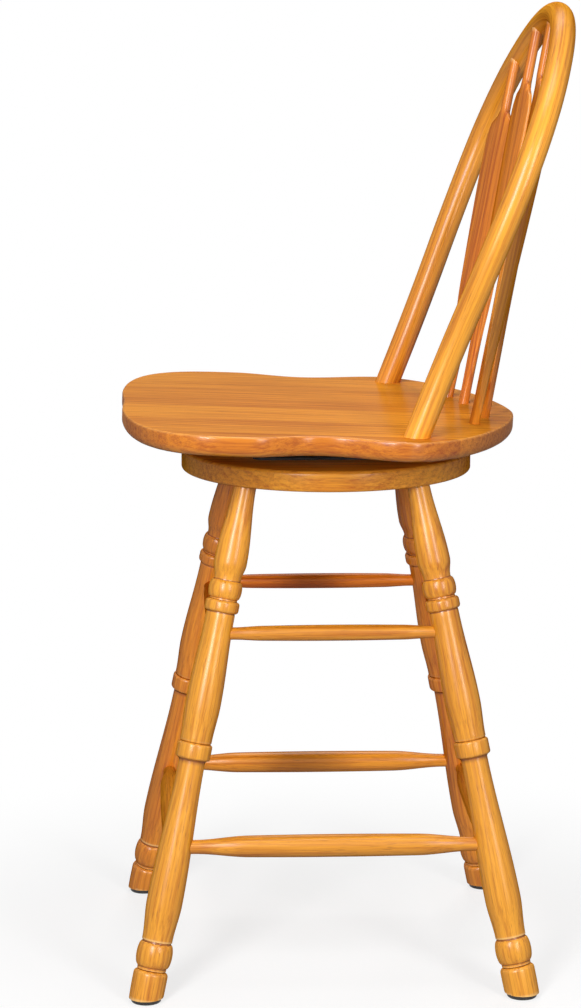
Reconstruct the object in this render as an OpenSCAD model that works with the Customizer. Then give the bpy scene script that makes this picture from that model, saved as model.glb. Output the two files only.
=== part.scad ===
// Swivel bar stool with a bent bow back, arrow spindles and four turned legs.
// Origin on the swivel axis at the floor. +Z is up, the sitter faces -Y and the sitter's left is +X.

/* [Overall] */
// Height of the seat's top face on the swivel axis
seat_height = 610; // [560:5:680]
// Gap on the axis between the base disc and the seat, which the swivel fills
swivel_gap = 24; // [23:0.5:32]

/* [Seat] */
// Thickness of the seat board
seat_thk = 22; // [20:1:30]
// Angle by which the seat leans back
seat_tilt = 2.1; // [0:0.1:4]
// Distance from the axis to the seat's front edge
seat_front = 223.3; // [200:1:245]
// Distance from the axis to the seat's back edge
seat_back = 205; // [190:1:230]
// Depth of the shallow dip in the middle of the front edge
seat_dip = 2.3; // [0:0.1:6]
// Half the width of that dip
seat_dip_reach = 70; // [40:1:90]
// Half width of the seat at its front lobes
front_lobe_x = 232; // [215:1:250]
// Distance of the front lobes in front of the axis
front_lobe_y = 94.5; // [80:0.5:110]
// Squareness of the front corners, where 2 is an ellipse
front_corner = 3.05; // [2:0.05:4]
// Half width of the seat at its waist
waist_x = 210; // [200:1:225]
// Distance of the waist in front of the axis
waist_y = 17; // [0:1:30]
// Half width of the seat at its rear lobes
rear_lobe_x = 233; // [215:1:250]
// Distance of the rear lobes behind the axis
rear_lobe_y = 76; // [60:1:95]
// Squareness of the rear corners, where 2 is an ellipse
rear_corner = 1.65; // [1.4:0.05:2.4]
// Radius of the seat's upper edge
seat_top_round = 2.5; // [1:0.5:4]
// Radius of the seat's lower edge
seat_under_round = 10; // [4:0.5:13]

/* [Bow] */
// Diameter of the bent bow
bow_d = 27; // [24:0.5:30]
// Angle by which the bow leans back from upright
bow_lean = 21.1; // [15:0.1:25]
// Half the spacing of the bow's feet
bow_foot_x = 194; // [180:1:200]
// Distance of the bow's feet behind the axis
bow_foot_y = 82.7; // [70:0.1:90]
// Depth of the bow's feet in the seat, along the bow
bow_socket = 16; // [10:0.5:17]
// Straight length of the bow above the seat
bow_straight = 40; // [20:1:60]
// How far each arm of the bow spreads outwards
bow_spread = 28; // [10:1:40]
// Distance up the bow at which it is widest
bow_wide_at = 275; // [240:1:300]
// Distance up the bow to its crown
bow_crown_at = 457; // [430:1:480]
// Bend radius of the bow's shoulders
bow_shoulder_r = 155; // [120:1:165]

/* [Spindles] */
// Number of spindles on each side of the middle one
spindles_each_side = 2; // [1:1:2]
// Spacing of the spindles' feet, across the seat
spindle_foot_pitch = 46.5; // [40:0.5:50]
// Spacing of the spindles' tops, across the bow
spindle_top_pitch = 77; // [65:0.5:78]
// Distance of the spindles' tops in front of the bow's middle line
spindle_top_fore = 5; // [0:0.5:6]
// Distance of the middle spindle's foot behind the axis
spindle_row_y = 165; // [155:1:175]
// Radius of the curve that the spindles' feet stand on
spindle_row_r = 249; // [220:1:400]
// Diameter of the spindles' round ends
spindle_end_d = 11; // [9:0.5:13]
// Width of a spindle's blade at its shoulders
blade_w = 48; // [36:1:50]
// Width of a spindle's blade at the bottom of its long taper
blade_low_w = 37; // [26:1:40]
// Thickness of a spindle's blade
blade_thk = 8.6; // [7:0.1:10.5]
// Turn of the blades about their own length, from each spindle to the next
blade_turn = 12; // [0:1:15]
// Length of the round stem from the bow's middle to the blade's shoulders
stem_len = 66; // [50:1:75]
// Length over which the shoulders spread from the stem to the full width
shoulder_len = 26; // [16:1:40]
// Distance above the seat at which the blade's long taper ends
blade_low_at = 130; // [110:1:160]
// Depth of the spindles' feet in the seat
spindle_socket = 14; // [8:0.5:15]

/* [Base disc] */
// Diameter of the base disc
disc_d = 316.4; // [310:0.2:330]
// Thickness of the base disc
disc_thk = 22; // [20:1:30]
// Radius of the base disc's upper edge
disc_top_round = 4; // [1:0.5:6]
// Radius of the base disc's lower edge
disc_under_round = 3; // [1:0.5:3.5]
// Diameter of the hole through which the seat's screws are driven
access_d = 20; // [16:1:24]

/* [Leg splay] */
// Sideways distance of a leg's middle at the floor
leg_foot_x = 199; // [185:1:210]
// Lengthways distance of a leg's middle at the floor
leg_foot_y = 202; // [185:1:210]
// Sideways distance of a leg's middle at the disc's underside
leg_top_x = 108; // [100:1:110]
// Lengthways distance of a leg's middle at the disc's underside
leg_top_y = 92; // [84:1:94]
// Depth of the legs in the disc, along the leg
leg_socket = 15; // [10:0.5:16]

/* [Leg turning] */
// Diameter of the leg's neck, where it enters the disc
neck_d = 24; // [20:0.5:26]
// Diameter of the foot block at its fullest
foot_d = 37; // [35:0.5:40]
// Height of the foot block's top
foot_top = 32; // [28:1:34]
// Diameter of the neck between foot block and foot bead
foot_neck_d = 32; // [28:0.5:34]
// Height of the lower edge of the foot bead
foot_bead_low = 37; // [35:0.5:40]
// Height of the upper edge of the foot bead
foot_bead_high = 62; // [55:1:64]
// Diameter of the foot bead
foot_bead_d = 38.6; // [36:0.2:42]
// Diameter of the waist above the foot bead
ankle_d = 30.6; // [28:0.2:33]
// Height of the fullest place of the lower swell
calf_at = 105; // [90:1:120]
// Diameter of the lower swell
calf_d = 38.4; // [34:0.2:42]
// Height of the lower edge of the middle ring
mid_ring_low = 255; // [245:1:260]
// Width of the middle ring
mid_ring_w = 17; // [12:1:20]
// Diameter of the middle ring
mid_ring_d = 37.4; // [35:0.2:40]
// Diameter of the leg just below the middle ring
shin_d = 28.6; // [26:0.2:32]
// Height of the fullest place of the middle swell
knee_at = 313; // [300:1:325]
// Diameter of the middle swell
knee_d = 38; // [34:0.2:42]
// Height of the lower edge of the upper ring
top_ring_low = 409; // [402:1:415]
// Width of the upper ring
top_ring_w = 12.4; // [10:0.2:14]
// Diameter of the upper ring and of the bead over it
top_ring_d = 36; // [34:0.2:40]
// Width of the bead over the upper ring
top_bead_w = 18.6; // [15:0.2:20]
// Diameter of the leg just below the upper ring
thigh_d = 31; // [28:0.2:33]
// Height of the fullest place of the upper swell
hip_at = 461; // [455:1:475]
// Diameter of the upper swell
hip_d = 35.4; // [32:0.2:38]
// Depth of the narrow grooves between rings and beads
groove_deep = 1.7; // [1:0.1:2.5]

/* [Stretchers] */
// Height of the lower side stretchers
low_side_z = 162; // [150:1:175]
// Height of the lower front and back stretchers
low_end_z = 156; // [145:1:170]
// Height of the upper side stretchers
high_side_z = 386; // [375:1:392]
// Height of the upper front and back stretchers
high_end_z = 383; // [370:1:392]
// Diameter of the lower stretchers in the middle
low_rung_d = 24.4; // [20:0.2:28]
// Diameter of the lower stretchers at their ends
low_rung_end_d = 15; // [12:0.5:16]
// Length of the even middle of the lower stretchers
low_rung_even = 183; // [120:1:200]
// Diameter of the upper stretchers in the middle
high_rung_d = 17.2; // [15:0.2:20]
// Diameter of the upper stretchers at their ends
high_rung_end_d = 13.2; // [10:0.2:13.6]
// Length of the even middle of the upper stretchers
high_rung_even = 152; // [100:1:170]

/* [Glides] */
// Diameter of the floor glides
glide_d = 32; // [26:1:34]
// Height of the floor glides
glide_h = 5; // [3:0.5:7]
// Diameter of the glides' nails
nail_d = 3; // [2:0.1:4]
// Length of the nails above the glide
nail_len = 18; // [12:1:22]

/* [Swivel] */
// Side of the square swivel plates
plate_w = 165; // [150:1:175]
// Thickness of the swivel plates
plate_thk = 2.5; // [2:0.1:3]
// Corner radius of the swivel plates
plate_corner = 12; // [6:1:20]
// Half the spacing of the plates' screws
plate_screw_at = 68; // [62:1:70]
// Radius of the two ball races
race_r = 58; // [54:1:62]
// Radius of the circle that the balls run on
ball_row_r = 48; // [44:1:50]
// Diameter of the balls
ball_d = 8; // [6:0.2:8.4]
// Number of balls
ball_count = 12; // [8:1:16]
// Gap between the two races
race_gap = 4; // [3:0.2:5]
// Height of the lower race over its plate
lower_race_h = 5.6; // [5:0.1:8]
// Thickness of the ring that spaces the balls
cage_thk = 1.6; // [1:0.1:2]
// Width of that ring
cage_w = 16; // [12:1:18]
// Diameter of the pin that holds the races together
pin_d = 16; // [10:1:20]
// Diameter of the pin's head
pin_head_d = 26; // [22:1:32]
// Thickness of the pin's head
pin_head_h = 3.5; // [2:0.5:5]
// Room round and under the pin's head in the disc
pin_room = 2; // [1:0.5:4]

/* [Screws] */
// Diameter of the screws' shanks
screw_d = 4.5; // [3.5:0.1:5]
// Length of the screws in the wood
screw_len = 14; // [10:1:16]
// Diameter of the screws' heads
screw_head_d = 9; // [7:0.5:11]
// Height of the screws' heads
screw_head_h = 2.8; // [2:0.1:3.5]

/* [Fits] */
// Clearance round glued and driven parts, on the radius
glue_gap = 0.05; // [0.02:0.01:0.1]
// Clearance round turning parts, on the radius
turn_gap = 0.05; // [0.02:0.01:0.1]
// Clearance at the bottom of blind holes
end_gap = 0.3; // [0.1:0.1:1]
// Wood left between two stretchers that meet in one leg
rung_wall = 0.6; // [0.4:0.1:1]
// How much the bow and spindles are turned down where they enter their sockets, on the radius
tenon_step = 0.35; // [0.3:0.05:0.8]

/* [Hidden] */

wood = "#d48a35";
dark_wood = "#a85f22";
glide_black = "#1d1b1a";
zinc = "#a9abad";

round_fn = 64;
small_fn = 32;
run_steps = 7;
bead_steps = 8;
blade_sides = 18;
bow_sides = 24;
through = 60;
floor_cut = 120;

seat_under_z = seat_height - seat_thk / cos(seat_tilt);
disc_top_z = seat_under_z - swivel_gap;
disc_bottom_z = disc_top_z - disc_thk;
race_low_z = disc_top_z + plate_thk + lower_race_h;
ball_z = race_low_z + race_gap / 2;
race_high_z = race_low_z + race_gap;
bow_r = bow_d / 2;
bow_tenon_r = bow_r - tenon_step;
end_r = spindle_end_d / 2;
tenon_r = end_r - tenon_step;
leg_stretch = norm([leg_foot_x - leg_top_x, leg_foot_y - leg_top_y, disc_bottom_z]) / disc_bottom_z;

// Placing and smoothing

// Puts children that run up +Z onto the line from p towards q
module along(p, q) {
    d = q - p;
    translate(p)
        rotate([-asin(d[1] / norm(d)), atan2(d[0], d[2]), 0])
            children();
}

// Lays children that are drawn flat on the seat's top plane
module on_seat() {
    translate([0, 0, seat_height])
        rotate([-seat_tilt, 0, 0])
            children();
}

function seat_point(x, y) = [x, y, seat_height - y * tan(seat_tilt)];
function ease(a, b, t) = a + (b - a) * (1 - cos(180 * t)) / 2;
function last(list) = list[len(list) - 1];

// A smooth run of a turned outline between two [radius, height] points, level at both ends
function swell(p, q, n = run_steps) =
    [for (i = [0 : n]) [ease(p[0], q[0], i / n), p[1] + (q[1] - p[1]) * i / n]];

// A half round bead of a turned outline
function bead(base_r, top_r, low, high, n = bead_steps) =
    [for (i = [0 : n])
        let (a = 180 * i / n)
        [base_r + (top_r - base_r) * sin(a), (low + high) / 2 - (high - low) / 2 * cos(a)]];

// A flat ring of a turned outline with rounded corners
function ring(r, low, high, round) = [
    for (i = [0 : 3]) [r - round + round * sin(30 * i), low + round - round * cos(30 * i)],
    for (i = [3 : -1 : 0]) [r - round + round * sin(30 * i), high - round + round * cos(30 * i)]];

// Seat outline

// A point on a rounded corner, seen from the corner's own middle
function corner_point(half_w, half_l, square_n, a) =
    let (r = pow(pow(abs(cos(a)) / half_w, square_n) + pow(abs(sin(a)) / half_l, square_n), -1 / square_n))
    [r * cos(a), r * sin(a)];

function dip_at(x) = abs(x) < seat_dip_reach ? seat_dip * (1 + cos(180 * x / seat_dip_reach)) / 2 : 0;

front_half = [for (a = [90 : -6 : 0])
    let (p = corner_point(front_lobe_x, seat_front - front_lobe_y, front_corner, a))
    [p[0], dip_at(p[0]) - front_lobe_y - p[1]]];
side_half = concat(
    [for (i = [1 : 5]) [ease(front_lobe_x, waist_x, i / 5), (front_lobe_y - waist_y) * i / 5 - front_lobe_y]],
    [for (i = [1 : 5]) [ease(waist_x, rear_lobe_x, i / 6), (rear_lobe_y + waist_y) * i / 6 - waist_y]]);
rear_half = [for (a = [0 : 6 : 90])
    let (p = corner_point(rear_lobe_x, seat_back - rear_lobe_y, rear_corner, a))
    [p[0], rear_lobe_y + p[1]]];
left_outline = concat(front_half, side_half, rear_half);
right_outline = [for (i = [len(left_outline) - 2 : -1 : 1]) [-left_outline[i][0], left_outline[i][1]]];
seat_outline = concat(left_outline, right_outline);
seat_n = len(seat_outline);

// Outward direction of the outline at point i
function seat_normal(i) =
    let (d = seat_outline[(i + 1) % seat_n] - seat_outline[(i + seat_n - 1) % seat_n])
    [d[1], -d[0]] / norm(d);

// How far each ring of the seat's edge is drawn in, and its height under the top face
seat_rings = concat(
    [for (a = [0 : 15 : 90]) [seat_under_round * (1 - sin(a)), seat_under_round * (1 - cos(a)) - seat_thk]],
    [for (a = [0 : 30 : 90]) [seat_top_round * (1 - cos(a)), seat_top_round * (sin(a) - 1)]]);

// Walls and ends of a stack of rings that all have n points, the lowest ring first
function stack_faces(rings, n) = concat(
    [[for (i = [0 : n - 1]) i]],
    [for (k = [0 : rings - 2], i = [0 : n - 1], half = [0 : 1])
        let (a = k * n + i, b = k * n + (i + 1) % n)
        half == 0 ? [a, a + n, b] : [b, a + n, b + n]],
    [[for (i = [n - 1 : -1 : 0]) (rings - 1) * n + i]]);

// Bow

bow_bend_len = bow_wide_at - bow_straight;
bow_bend_r = (bow_bend_len * bow_bend_len + bow_spread * bow_spread) / (4 * bow_spread);
bow_bend_angle = asin(bow_bend_len / 2 / bow_bend_r);
bow_wide_x = bow_foot_x + bow_spread;
bow_rise = bow_crown_at - bow_wide_at;
shoulder_x = bow_wide_x - bow_shoulder_r;
bow_crown_r = (shoulder_x * shoulder_x + bow_rise * bow_rise - bow_shoulder_r * bow_shoulder_r)
    / (2 * (bow_rise - bow_shoulder_r));
bow_crown_mid = bow_crown_at - bow_crown_r;
bow_shoulder_angle = atan2(bow_wide_at - bow_crown_mid, shoulder_x);
bow_foot = seat_point(0, bow_foot_y);
bow_shoulder_at = bow_r * tan(bow_lean - seat_tilt) + 1;

// A point of the bow's middle line, x across and h up the bow
function bow_point(x, h) = bow_foot + [x, h * sin(bow_lean), h * cos(bow_lean)];
function crown_point(x) = bow_point(x, bow_crown_mid + sqrt(bow_crown_r * bow_crown_r - x * x));

// Lays children that are drawn flat, x across and y up, in the bow's plane
module in_bow_plane() {
    translate(bow_foot)
        rotate([90 - bow_lean, 0, 0])
            children();
}

// Middle line of the bow along an arc, as [x, h, direction of the bow's outer side]. A hollow arc
// has its middle on the outer side.
function bow_run(middle, r, from, to, n, hollow = false) = [for (i = [0 : n - 1])
    let (a = from + (to - from) * i / n)
    [middle[0] + r * cos(a), middle[1] + r * sin(a), hollow ? a - 180 : a]];

bow_half = concat(
    [[bow_foot_x, bow_shoulder_at, 0]],
    bow_run([bow_foot_x + bow_bend_r, bow_straight], bow_bend_r, 180, 180 - bow_bend_angle, 3, true),
    bow_run([bow_wide_x - bow_bend_r, bow_wide_at], bow_bend_r, -bow_bend_angle, 0, 3),
    bow_run([shoulder_x, bow_wide_at], bow_shoulder_r, 0, bow_shoulder_angle, 6),
    bow_run([0, bow_crown_mid], bow_crown_r, bow_shoulder_angle, 90, 7));
bow_line = concat(bow_half, [[0, bow_crown_at, 90]],
    [for (i = [len(bow_half) - 1 : -1 : 0]) [-bow_half[i][0], bow_half[i][1], 180 - bow_half[i][2]]]);

// Straight foot of the bow, which stands in the seat
module bow_foot_end() {
    translate([bow_foot_x, -bow_socket, 0])
        rotate([-90, 0, 0])
            cylinder(r = bow_tenon_r, h = bow_socket + bow_shoulder_at + 1, $fn = small_fn);
}

// Sockets for the bow's feet, one on each side
module bow_sockets() {
    for (side = [-1, 1])
        in_bow_plane()
            translate([side * bow_foot_x, -bow_socket - end_gap, 0])
                rotate([-90, 0, 0])
                    cylinder(r = bow_tenon_r + glue_gap, h = through, $fn = small_fn);
}

// Spindles, numbered outwards from the middle one: negative on the sitter's right

function spindle_foot(k) =
    let (x = k * spindle_foot_pitch)
    seat_point(x, spindle_row_y - spindle_row_r + sqrt(spindle_row_r * spindle_row_r - x * x));
function spindle_top(k) = crown_point(k * spindle_top_pitch) - [0, spindle_top_fore, 0];
function spindle_len(k) = norm(spindle_top(k) - spindle_foot(k));
spindle_tip_gap = 2;
spindle_numbers = [-spindles_each_side : spindles_each_side];

// Distances along a spindle and its half width there, from the seat to the bow
function blade_keys(len) = [
    [2, end_r],
    [50, end_r + (blade_low_w / 2 - end_r) * 0.28],
    [blade_low_at, blade_low_w / 2],
    [len - stem_len - shoulder_len - 8, blade_w / 2],
    [len - stem_len - shoulder_len * 0.55, blade_w / 2 * 0.8],
    [len - stem_len, end_r],
    [len - bow_r - 8, end_r]];

// Slope of a row of keys at key i, flat at its ends
function key_slope(keys, i) =
    i == 0 || i == len(keys) - 1 ? 0
    : let (before = (keys[i][1] - keys[i - 1][1]) / (keys[i][0] - keys[i - 1][0]),
           after = (keys[i + 1][1] - keys[i][1]) / (keys[i + 1][0] - keys[i][0]))
      before * after <= 0 ? 0 : 2 * before * after / (before + after);

// Sections from key i to the next, as distance and half width
function key_run(keys, i, n) = [for (j = [0 : n - 1])
    let (t = j / n,
         step = keys[i + 1][0] - keys[i][0],
         h1 = 2 * t * t * t - 3 * t * t + 1,
         h2 = t * t * t - 2 * t * t + t,
         h3 = 1 - h1,
         h4 = t * t * t - t * t)
    [keys[i][0] + step * t,
     h1 * keys[i][1] + h2 * step * key_slope(keys, i) + h3 * keys[i + 1][1]
     + h4 * step * key_slope(keys, i + 1)]];

function blade_sections(len) =
    let (keys = blade_keys(len), steps = [4, 4, 3, 3, 4, 1])
    concat([for (i = [0 : len(keys) - 2]) each key_run(keys, i, steps[i])], [last(keys)]);

// One section of a blade: round at the ends, and a flat bar with rounded edges between them
function blade_ring(s, half_w) =
    let (flat = min(1, (half_w - end_r) / (blade_low_w / 2 - end_r)),
         half_t = end_r + (blade_thk / 2 - end_r) * flat,
         n = 2 + 0.7 * flat)
    [for (i = [0 : blade_sides - 1])
        let (a = 360 * i / blade_sides)
        [half_w * sign(cos(a)) * pow(abs(cos(a)), 2 / n),
         half_t * sign(sin(a)) * pow(abs(sin(a)), 2 / n), s]];

module spindle(k) {
    length = spindle_len(k);
    sections = blade_sections(length);
    foot_end = sections[0][0];
    top_start = last(sections)[0];
    along(spindle_foot(k), spindle_top(k))
        rotate([0, 0, -k * blade_turn]) {
            translate([0, 0, -spindle_socket])
                cylinder(r = tenon_r, h = spindle_socket + foot_end + 1, $fn = small_fn);
            polyhedron(
                points = [for (s = sections) each blade_ring(s[0], s[1])],
                faces = stack_faces(len(sections), blade_sides),
                convexity = 6);
            translate([0, 0, top_start - 1])
                cylinder(r = tenon_r, h = length - spindle_tip_gap - top_start + 1, $fn = small_fn);
        }
}

// Holes in the seat for the spindles' feet
module spindle_sockets() {
    for (k = spindle_numbers)
        along(spindle_foot(k), spindle_top(k))
            translate([0, 0, -spindle_socket - end_gap])
                cylinder(r = tenon_r + glue_gap, h = through, $fn = small_fn);
}

// Holes in the bow for the spindles' tops
module crown_sockets() {
    for (k = spindle_numbers)
        along(spindle_top(k), spindle_foot(k))
            translate([0, 0, spindle_tip_gap - end_gap])
                cylinder(r = tenon_r + glue_gap, h = through, $fn = small_fn);
}

// Seat body

module seat() {
    color(wood)
        difference() {
            on_seat()
                polyhedron(
                    points = [for (e = seat_rings, i = [0 : seat_n - 1])
                        let (p = seat_outline[i] - seat_normal(i) * e[0])
                        [p[0], p[1], e[1]]],
                    faces = stack_faces(len(seat_rings), seat_n),
                    convexity = 4);
            bow_sockets();
            spindle_sockets();
            at_upper_screws()
                cylinder(d = screw_d + 2 * glue_gap, h = screw_len + end_gap, $fn = small_fn);
        }
}

module back_bow() {
    color(wood)
        difference() {
            in_bow_plane() {
                bow_foot_end();
                mirror([1, 0, 0])
                    bow_foot_end();
                polyhedron(
                    points = [for (p = bow_line, i = [0 : bow_sides - 1])
                        let (a = 360 * i / bow_sides, out = bow_r * cos(a))
                        [p[0] + out * cos(p[2]), p[1] + out * sin(p[2]), -bow_r * sin(a)]],
                    faces = stack_faces(len(bow_line), bow_sides),
                    convexity = 6);
            }
            crown_sockets();
        }
}

module spindle_middle() {
    color(dark_wood)
        spindle(0);
}

module spindle_left_inner() {
    color(dark_wood)
        spindle(1);
}

module spindle_left_outer() {
    color(dark_wood)
        spindle(2);
}

module spindle_right_inner() {
    color(dark_wood)
        spindle(-1);
}

module spindle_right_outer() {
    color(dark_wood)
        spindle(-2);
}

// Swivel

// A square with round corners, with its screw holes
module plate_outline() {
    difference() {
        union() {
            square([plate_w - 2 * plate_corner, plate_w], center = true);
            square([plate_w, plate_w - 2 * plate_corner], center = true);
            for (x = [-1, 1], y = [-1, 1])
                translate([x, y] * (plate_w / 2 - plate_corner))
                    circle(r = plate_corner, $fn = small_fn);
        }
        for (x = [-1, 1], y = [-1, 1])
            translate([x, y] * plate_screw_at)
                circle(d = screw_d + 0.5, $fn = small_fn);
    }
}

// Groove that the balls run in
module ball_groove() {
    translate([0, 0, ball_z])
        rotate_extrude($fn = 2 * round_fn)
            translate([ball_row_r, 0])
                circle(r = ball_d / 2 + turn_gap, $fn = small_fn);
}

// Puts children that run up +Z at the seat's screws, on the seat's underside
module at_upper_screws() {
    translate([0, 0, seat_under_z])
        rotate([-seat_tilt, 0, 0])
            for (x = [-1, 1], y = [-1, 1])
                translate([x * plate_screw_at, y * plate_screw_at, 0])
                    children();
}

// Puts children that run down -Z at the disc's screws, on the disc's top
module at_lower_screws() {
    translate([0, 0, disc_top_z])
        for (x = [-1, 1], y = [-1, 1])
            translate([x * plate_screw_at, y * plate_screw_at, 0])
                rotate([180, 0, 0])
                    children();
}

// A pan head screw through a plate, its point up +Z and the wood's face at 0
module plate_screw() {
    rotate_extrude($fn = small_fn)
        polygon(concat(
            [[0, -plate_thk - screw_head_h]],
            [for (a = [30 : 20 : 90])
                [screw_head_d / 2 * sin(a), -plate_thk - screw_head_h + screw_head_h * 0.7 * (1 - cos(a))]],
            [[screw_head_d / 2, -plate_thk],
             [screw_d / 2, -plate_thk],
             [screw_d / 2, screw_len - screw_d],
             [0, screw_len]]));
}

module upper_swivel_plate() {
    color(zinc)
        difference() {
            union() {
                translate([0, 0, seat_under_z])
                    rotate([-seat_tilt, 0, 0])
                        translate([0, 0, -plate_thk])
                            linear_extrude(plate_thk)
                                plate_outline();
                difference() {
                    translate([0, 0, race_high_z])
                        cylinder(r = race_r, h = seat_height - race_high_z, $fn = round_fn);
                    translate([0, 0, seat_under_z])
                        rotate([-seat_tilt, 0, 0])
                            translate([-plate_w, -plate_w, -plate_thk / 2])
                                cube([2 * plate_w, 2 * plate_w, seat_height]);
                }
            }
            ball_groove();
            translate([0, 0, race_low_z])
                cylinder(d = pin_d + 2 * glue_gap, h = seat_height, $fn = small_fn);
        }
}

module lower_swivel_plate() {
    color(zinc)
        difference() {
            union() {
                translate([0, 0, disc_top_z])
                    linear_extrude(plate_thk)
                        plate_outline();
                translate([0, 0, disc_top_z])
                    cylinder(r = race_r, h = race_low_z - disc_top_z, $fn = round_fn);
            }
            ball_groove();
            translate([0, 0, disc_top_z - 1])
                cylinder(d = pin_d + 2 * turn_gap, h = through, $fn = small_fn);
        }
}

module swivel_pin() {
    pin_top = seat_under_z - plate_thk / 2;
    head_top = disc_top_z - end_gap;
    color(zinc) {
        translate([0, 0, head_top - pin_head_h])
            cylinder(d = pin_head_d, h = pin_head_h, $fn = round_fn);
        translate([0, 0, head_top - pin_head_h])
            cylinder(d = pin_d, h = pin_top - head_top + pin_head_h, $fn = small_fn);
    }
}

module swivel_balls() {
    color("#d5d7da")
        for (i = [0 : ball_count - 1])
            rotate([0, 0, 360 * i / ball_count])
                translate([ball_row_r, 0, ball_z])
                    sphere(d = ball_d, $fn = small_fn);
}

module ball_cage() {
    color("#c9a24a")
        translate([0, 0, ball_z - cage_thk / 2])
            difference() {
                cylinder(r = ball_row_r + cage_w / 2, h = cage_thk, $fn = round_fn);
                translate([0, 0, -1])
                    cylinder(r = ball_row_r - cage_w / 2, h = cage_thk + 2, $fn = round_fn);
                for (i = [0 : ball_count - 1])
                    rotate([0, 0, 360 * i / ball_count])
                        translate([ball_row_r, 0, -1])
                            cylinder(r = ball_d / 2 + turn_gap, h = cage_thk + 2, $fn = small_fn);
            }
}

module upper_plate_screws() {
    color(zinc)
        at_upper_screws()
            plate_screw();
}

module lower_plate_screws() {
    color(zinc)
        at_lower_screws()
            plate_screw();
}

// Base disc

module base_disc() {
    r = disc_d / 2;
    color(wood)
        difference() {
            translate([0, 0, disc_bottom_z])
                rotate_extrude($fn = 2 * round_fn)
                    polygon(concat(
                        [[0, 0]],
                        [for (a = [0 : 15 : 90])
                            [r - disc_under_round * (1 - sin(a)), disc_under_round * (1 - cos(a))]],
                        [for (a = [0 : 15 : 90])
                            [r - disc_top_round * (1 - cos(a)), disc_thk - disc_top_round * (1 - sin(a))]],
                        [[0, disc_thk]]));
            for (x = [-1, 1], y = [-1, 1])
                along(leg_foot(x, y), leg_top(x, y))
                    cylinder(d = neck_d + 2 * glue_gap, h = leg_len() + leg_socket + end_gap, $fn = round_fn);
            translate([0, 0, disc_top_z - pin_head_h - pin_room])
                cylinder(d = pin_head_d + 2 * pin_room, h = pin_head_h + 2 * pin_room, $fn = round_fn);
            translate([0, -plate_screw_at * sqrt(2), disc_bottom_z - 1])
                cylinder(d = access_d, h = disc_thk + 2, $fn = small_fn);
            at_lower_screws()
                cylinder(d = screw_d + 2 * glue_gap, h = screw_len + end_gap, $fn = small_fn);
        }
}

// Legs

function leg_foot(x, y) = [x * leg_foot_x, y * leg_foot_y, 0];
function leg_top(x, y) = [x * leg_top_x, y * leg_top_y, disc_bottom_z];
function leg_at(x, y, z) = leg_foot(x, y) + (leg_top(x, y) - leg_foot(x, y)) * z / disc_bottom_z;
function leg_len() = disc_bottom_z * leg_stretch;

// The turned outline of a leg, as [radius, height over the floor]
leg_outline = let (
    ring_high = top_ring_low + top_ring_w,
    bead_high = ring_high + top_bead_w + 2,
    mid_ring_high = mid_ring_low + mid_ring_w,
    step = 2)
    concat(
        [[0, -foot_d / 2]],
        swell([foot_d / 2 - 1, -foot_d / 2], [foot_d / 2, foot_top * 0.6], 4),
        swell([foot_d / 2, foot_top * 0.6], [foot_d / 2 - 0.9, foot_top], 2),
        [[foot_neck_d / 2, foot_top + step]],
        bead(foot_neck_d / 2 + 0.6, foot_bead_d / 2, foot_bead_low, foot_bead_high),
        [[ankle_d / 2, foot_bead_high + step]],
        swell([ankle_d / 2 + 1, foot_bead_high + step], [calf_d / 2, calf_at]),
        swell([calf_d / 2, calf_at], [shin_d / 2, mid_ring_low - step], 9),
        ring(mid_ring_d / 2, mid_ring_low, mid_ring_high, 2),
        [[mid_ring_d / 2 - groove_deep, mid_ring_high + step / 2]],
        swell([mid_ring_d / 2 - groove_deep, mid_ring_high + step], [knee_d / 2, knee_at], 5),
        swell([knee_d / 2, knee_at], [thigh_d / 2, top_ring_low - step]),
        ring(top_ring_d / 2, top_ring_low, ring_high, 2),
        [[top_ring_d / 2 - groove_deep, ring_high + step / 2]],
        bead(top_ring_d / 2 - groove_deep, top_ring_d / 2, ring_high + step, bead_high),
        [[top_ring_d / 2 - 1.7 * groove_deep, bead_high + step / 2]],
        swell([top_ring_d / 2 - 1.5 * groove_deep, bead_high + step], [hip_d / 2, hip_at], 4),
        swell([hip_d / 2, hip_at], [neck_d / 2, disc_bottom_z], 9));

module leg(x, y) {
    color(wood)
        difference() {
            along(leg_foot(x, y), leg_top(x, y)) {
                rotate_extrude($fn = round_fn)
                    polygon(concat([for (p = leg_outline) [p[0], p[1] * leg_stretch]],
                        [[neck_d / 2, leg_len() + leg_socket], [0, leg_len() + leg_socket]]));
            }
            translate([x * leg_foot_x, y * leg_foot_y, glide_h - floor_cut / 2])
                cube(floor_cut, center = true);
            rung_socket(leg_at(x, y, low_side_z), leg_at(x, -y, low_side_z), low_rung_end_d);
            rung_socket(leg_at(x, y, low_end_z), leg_at(-x, y, low_end_z), low_rung_end_d);
            rung_socket(leg_at(x, y, high_side_z), leg_at(x, -y, high_side_z), high_rung_end_d);
            rung_socket(leg_at(x, y, high_end_z), leg_at(-x, y, high_end_z), high_rung_end_d);
            translate(glide_middle(x, y))
                cylinder(d = nail_d + 2 * glue_gap, h = glide_h + nail_len + end_gap, $fn = small_fn);
        }
}

module leg_front_left() {
    leg(1, -1);
}

module leg_front_right() {
    leg(-1, -1);
}

module leg_back_left() {
    leg(1, 1);
}

module leg_back_right() {
    leg(-1, 1);
}

// Stretchers

// Hole in a leg for a stretcher that runs from the leg's middle p towards q
module rung_socket(p, q, end_d) {
    along(p, q)
        translate([0, 0, end_d / 2 + rung_wall])
            cylinder(d = end_d + 2 * glue_gap, h = through, $fn = small_fn);
}

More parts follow.
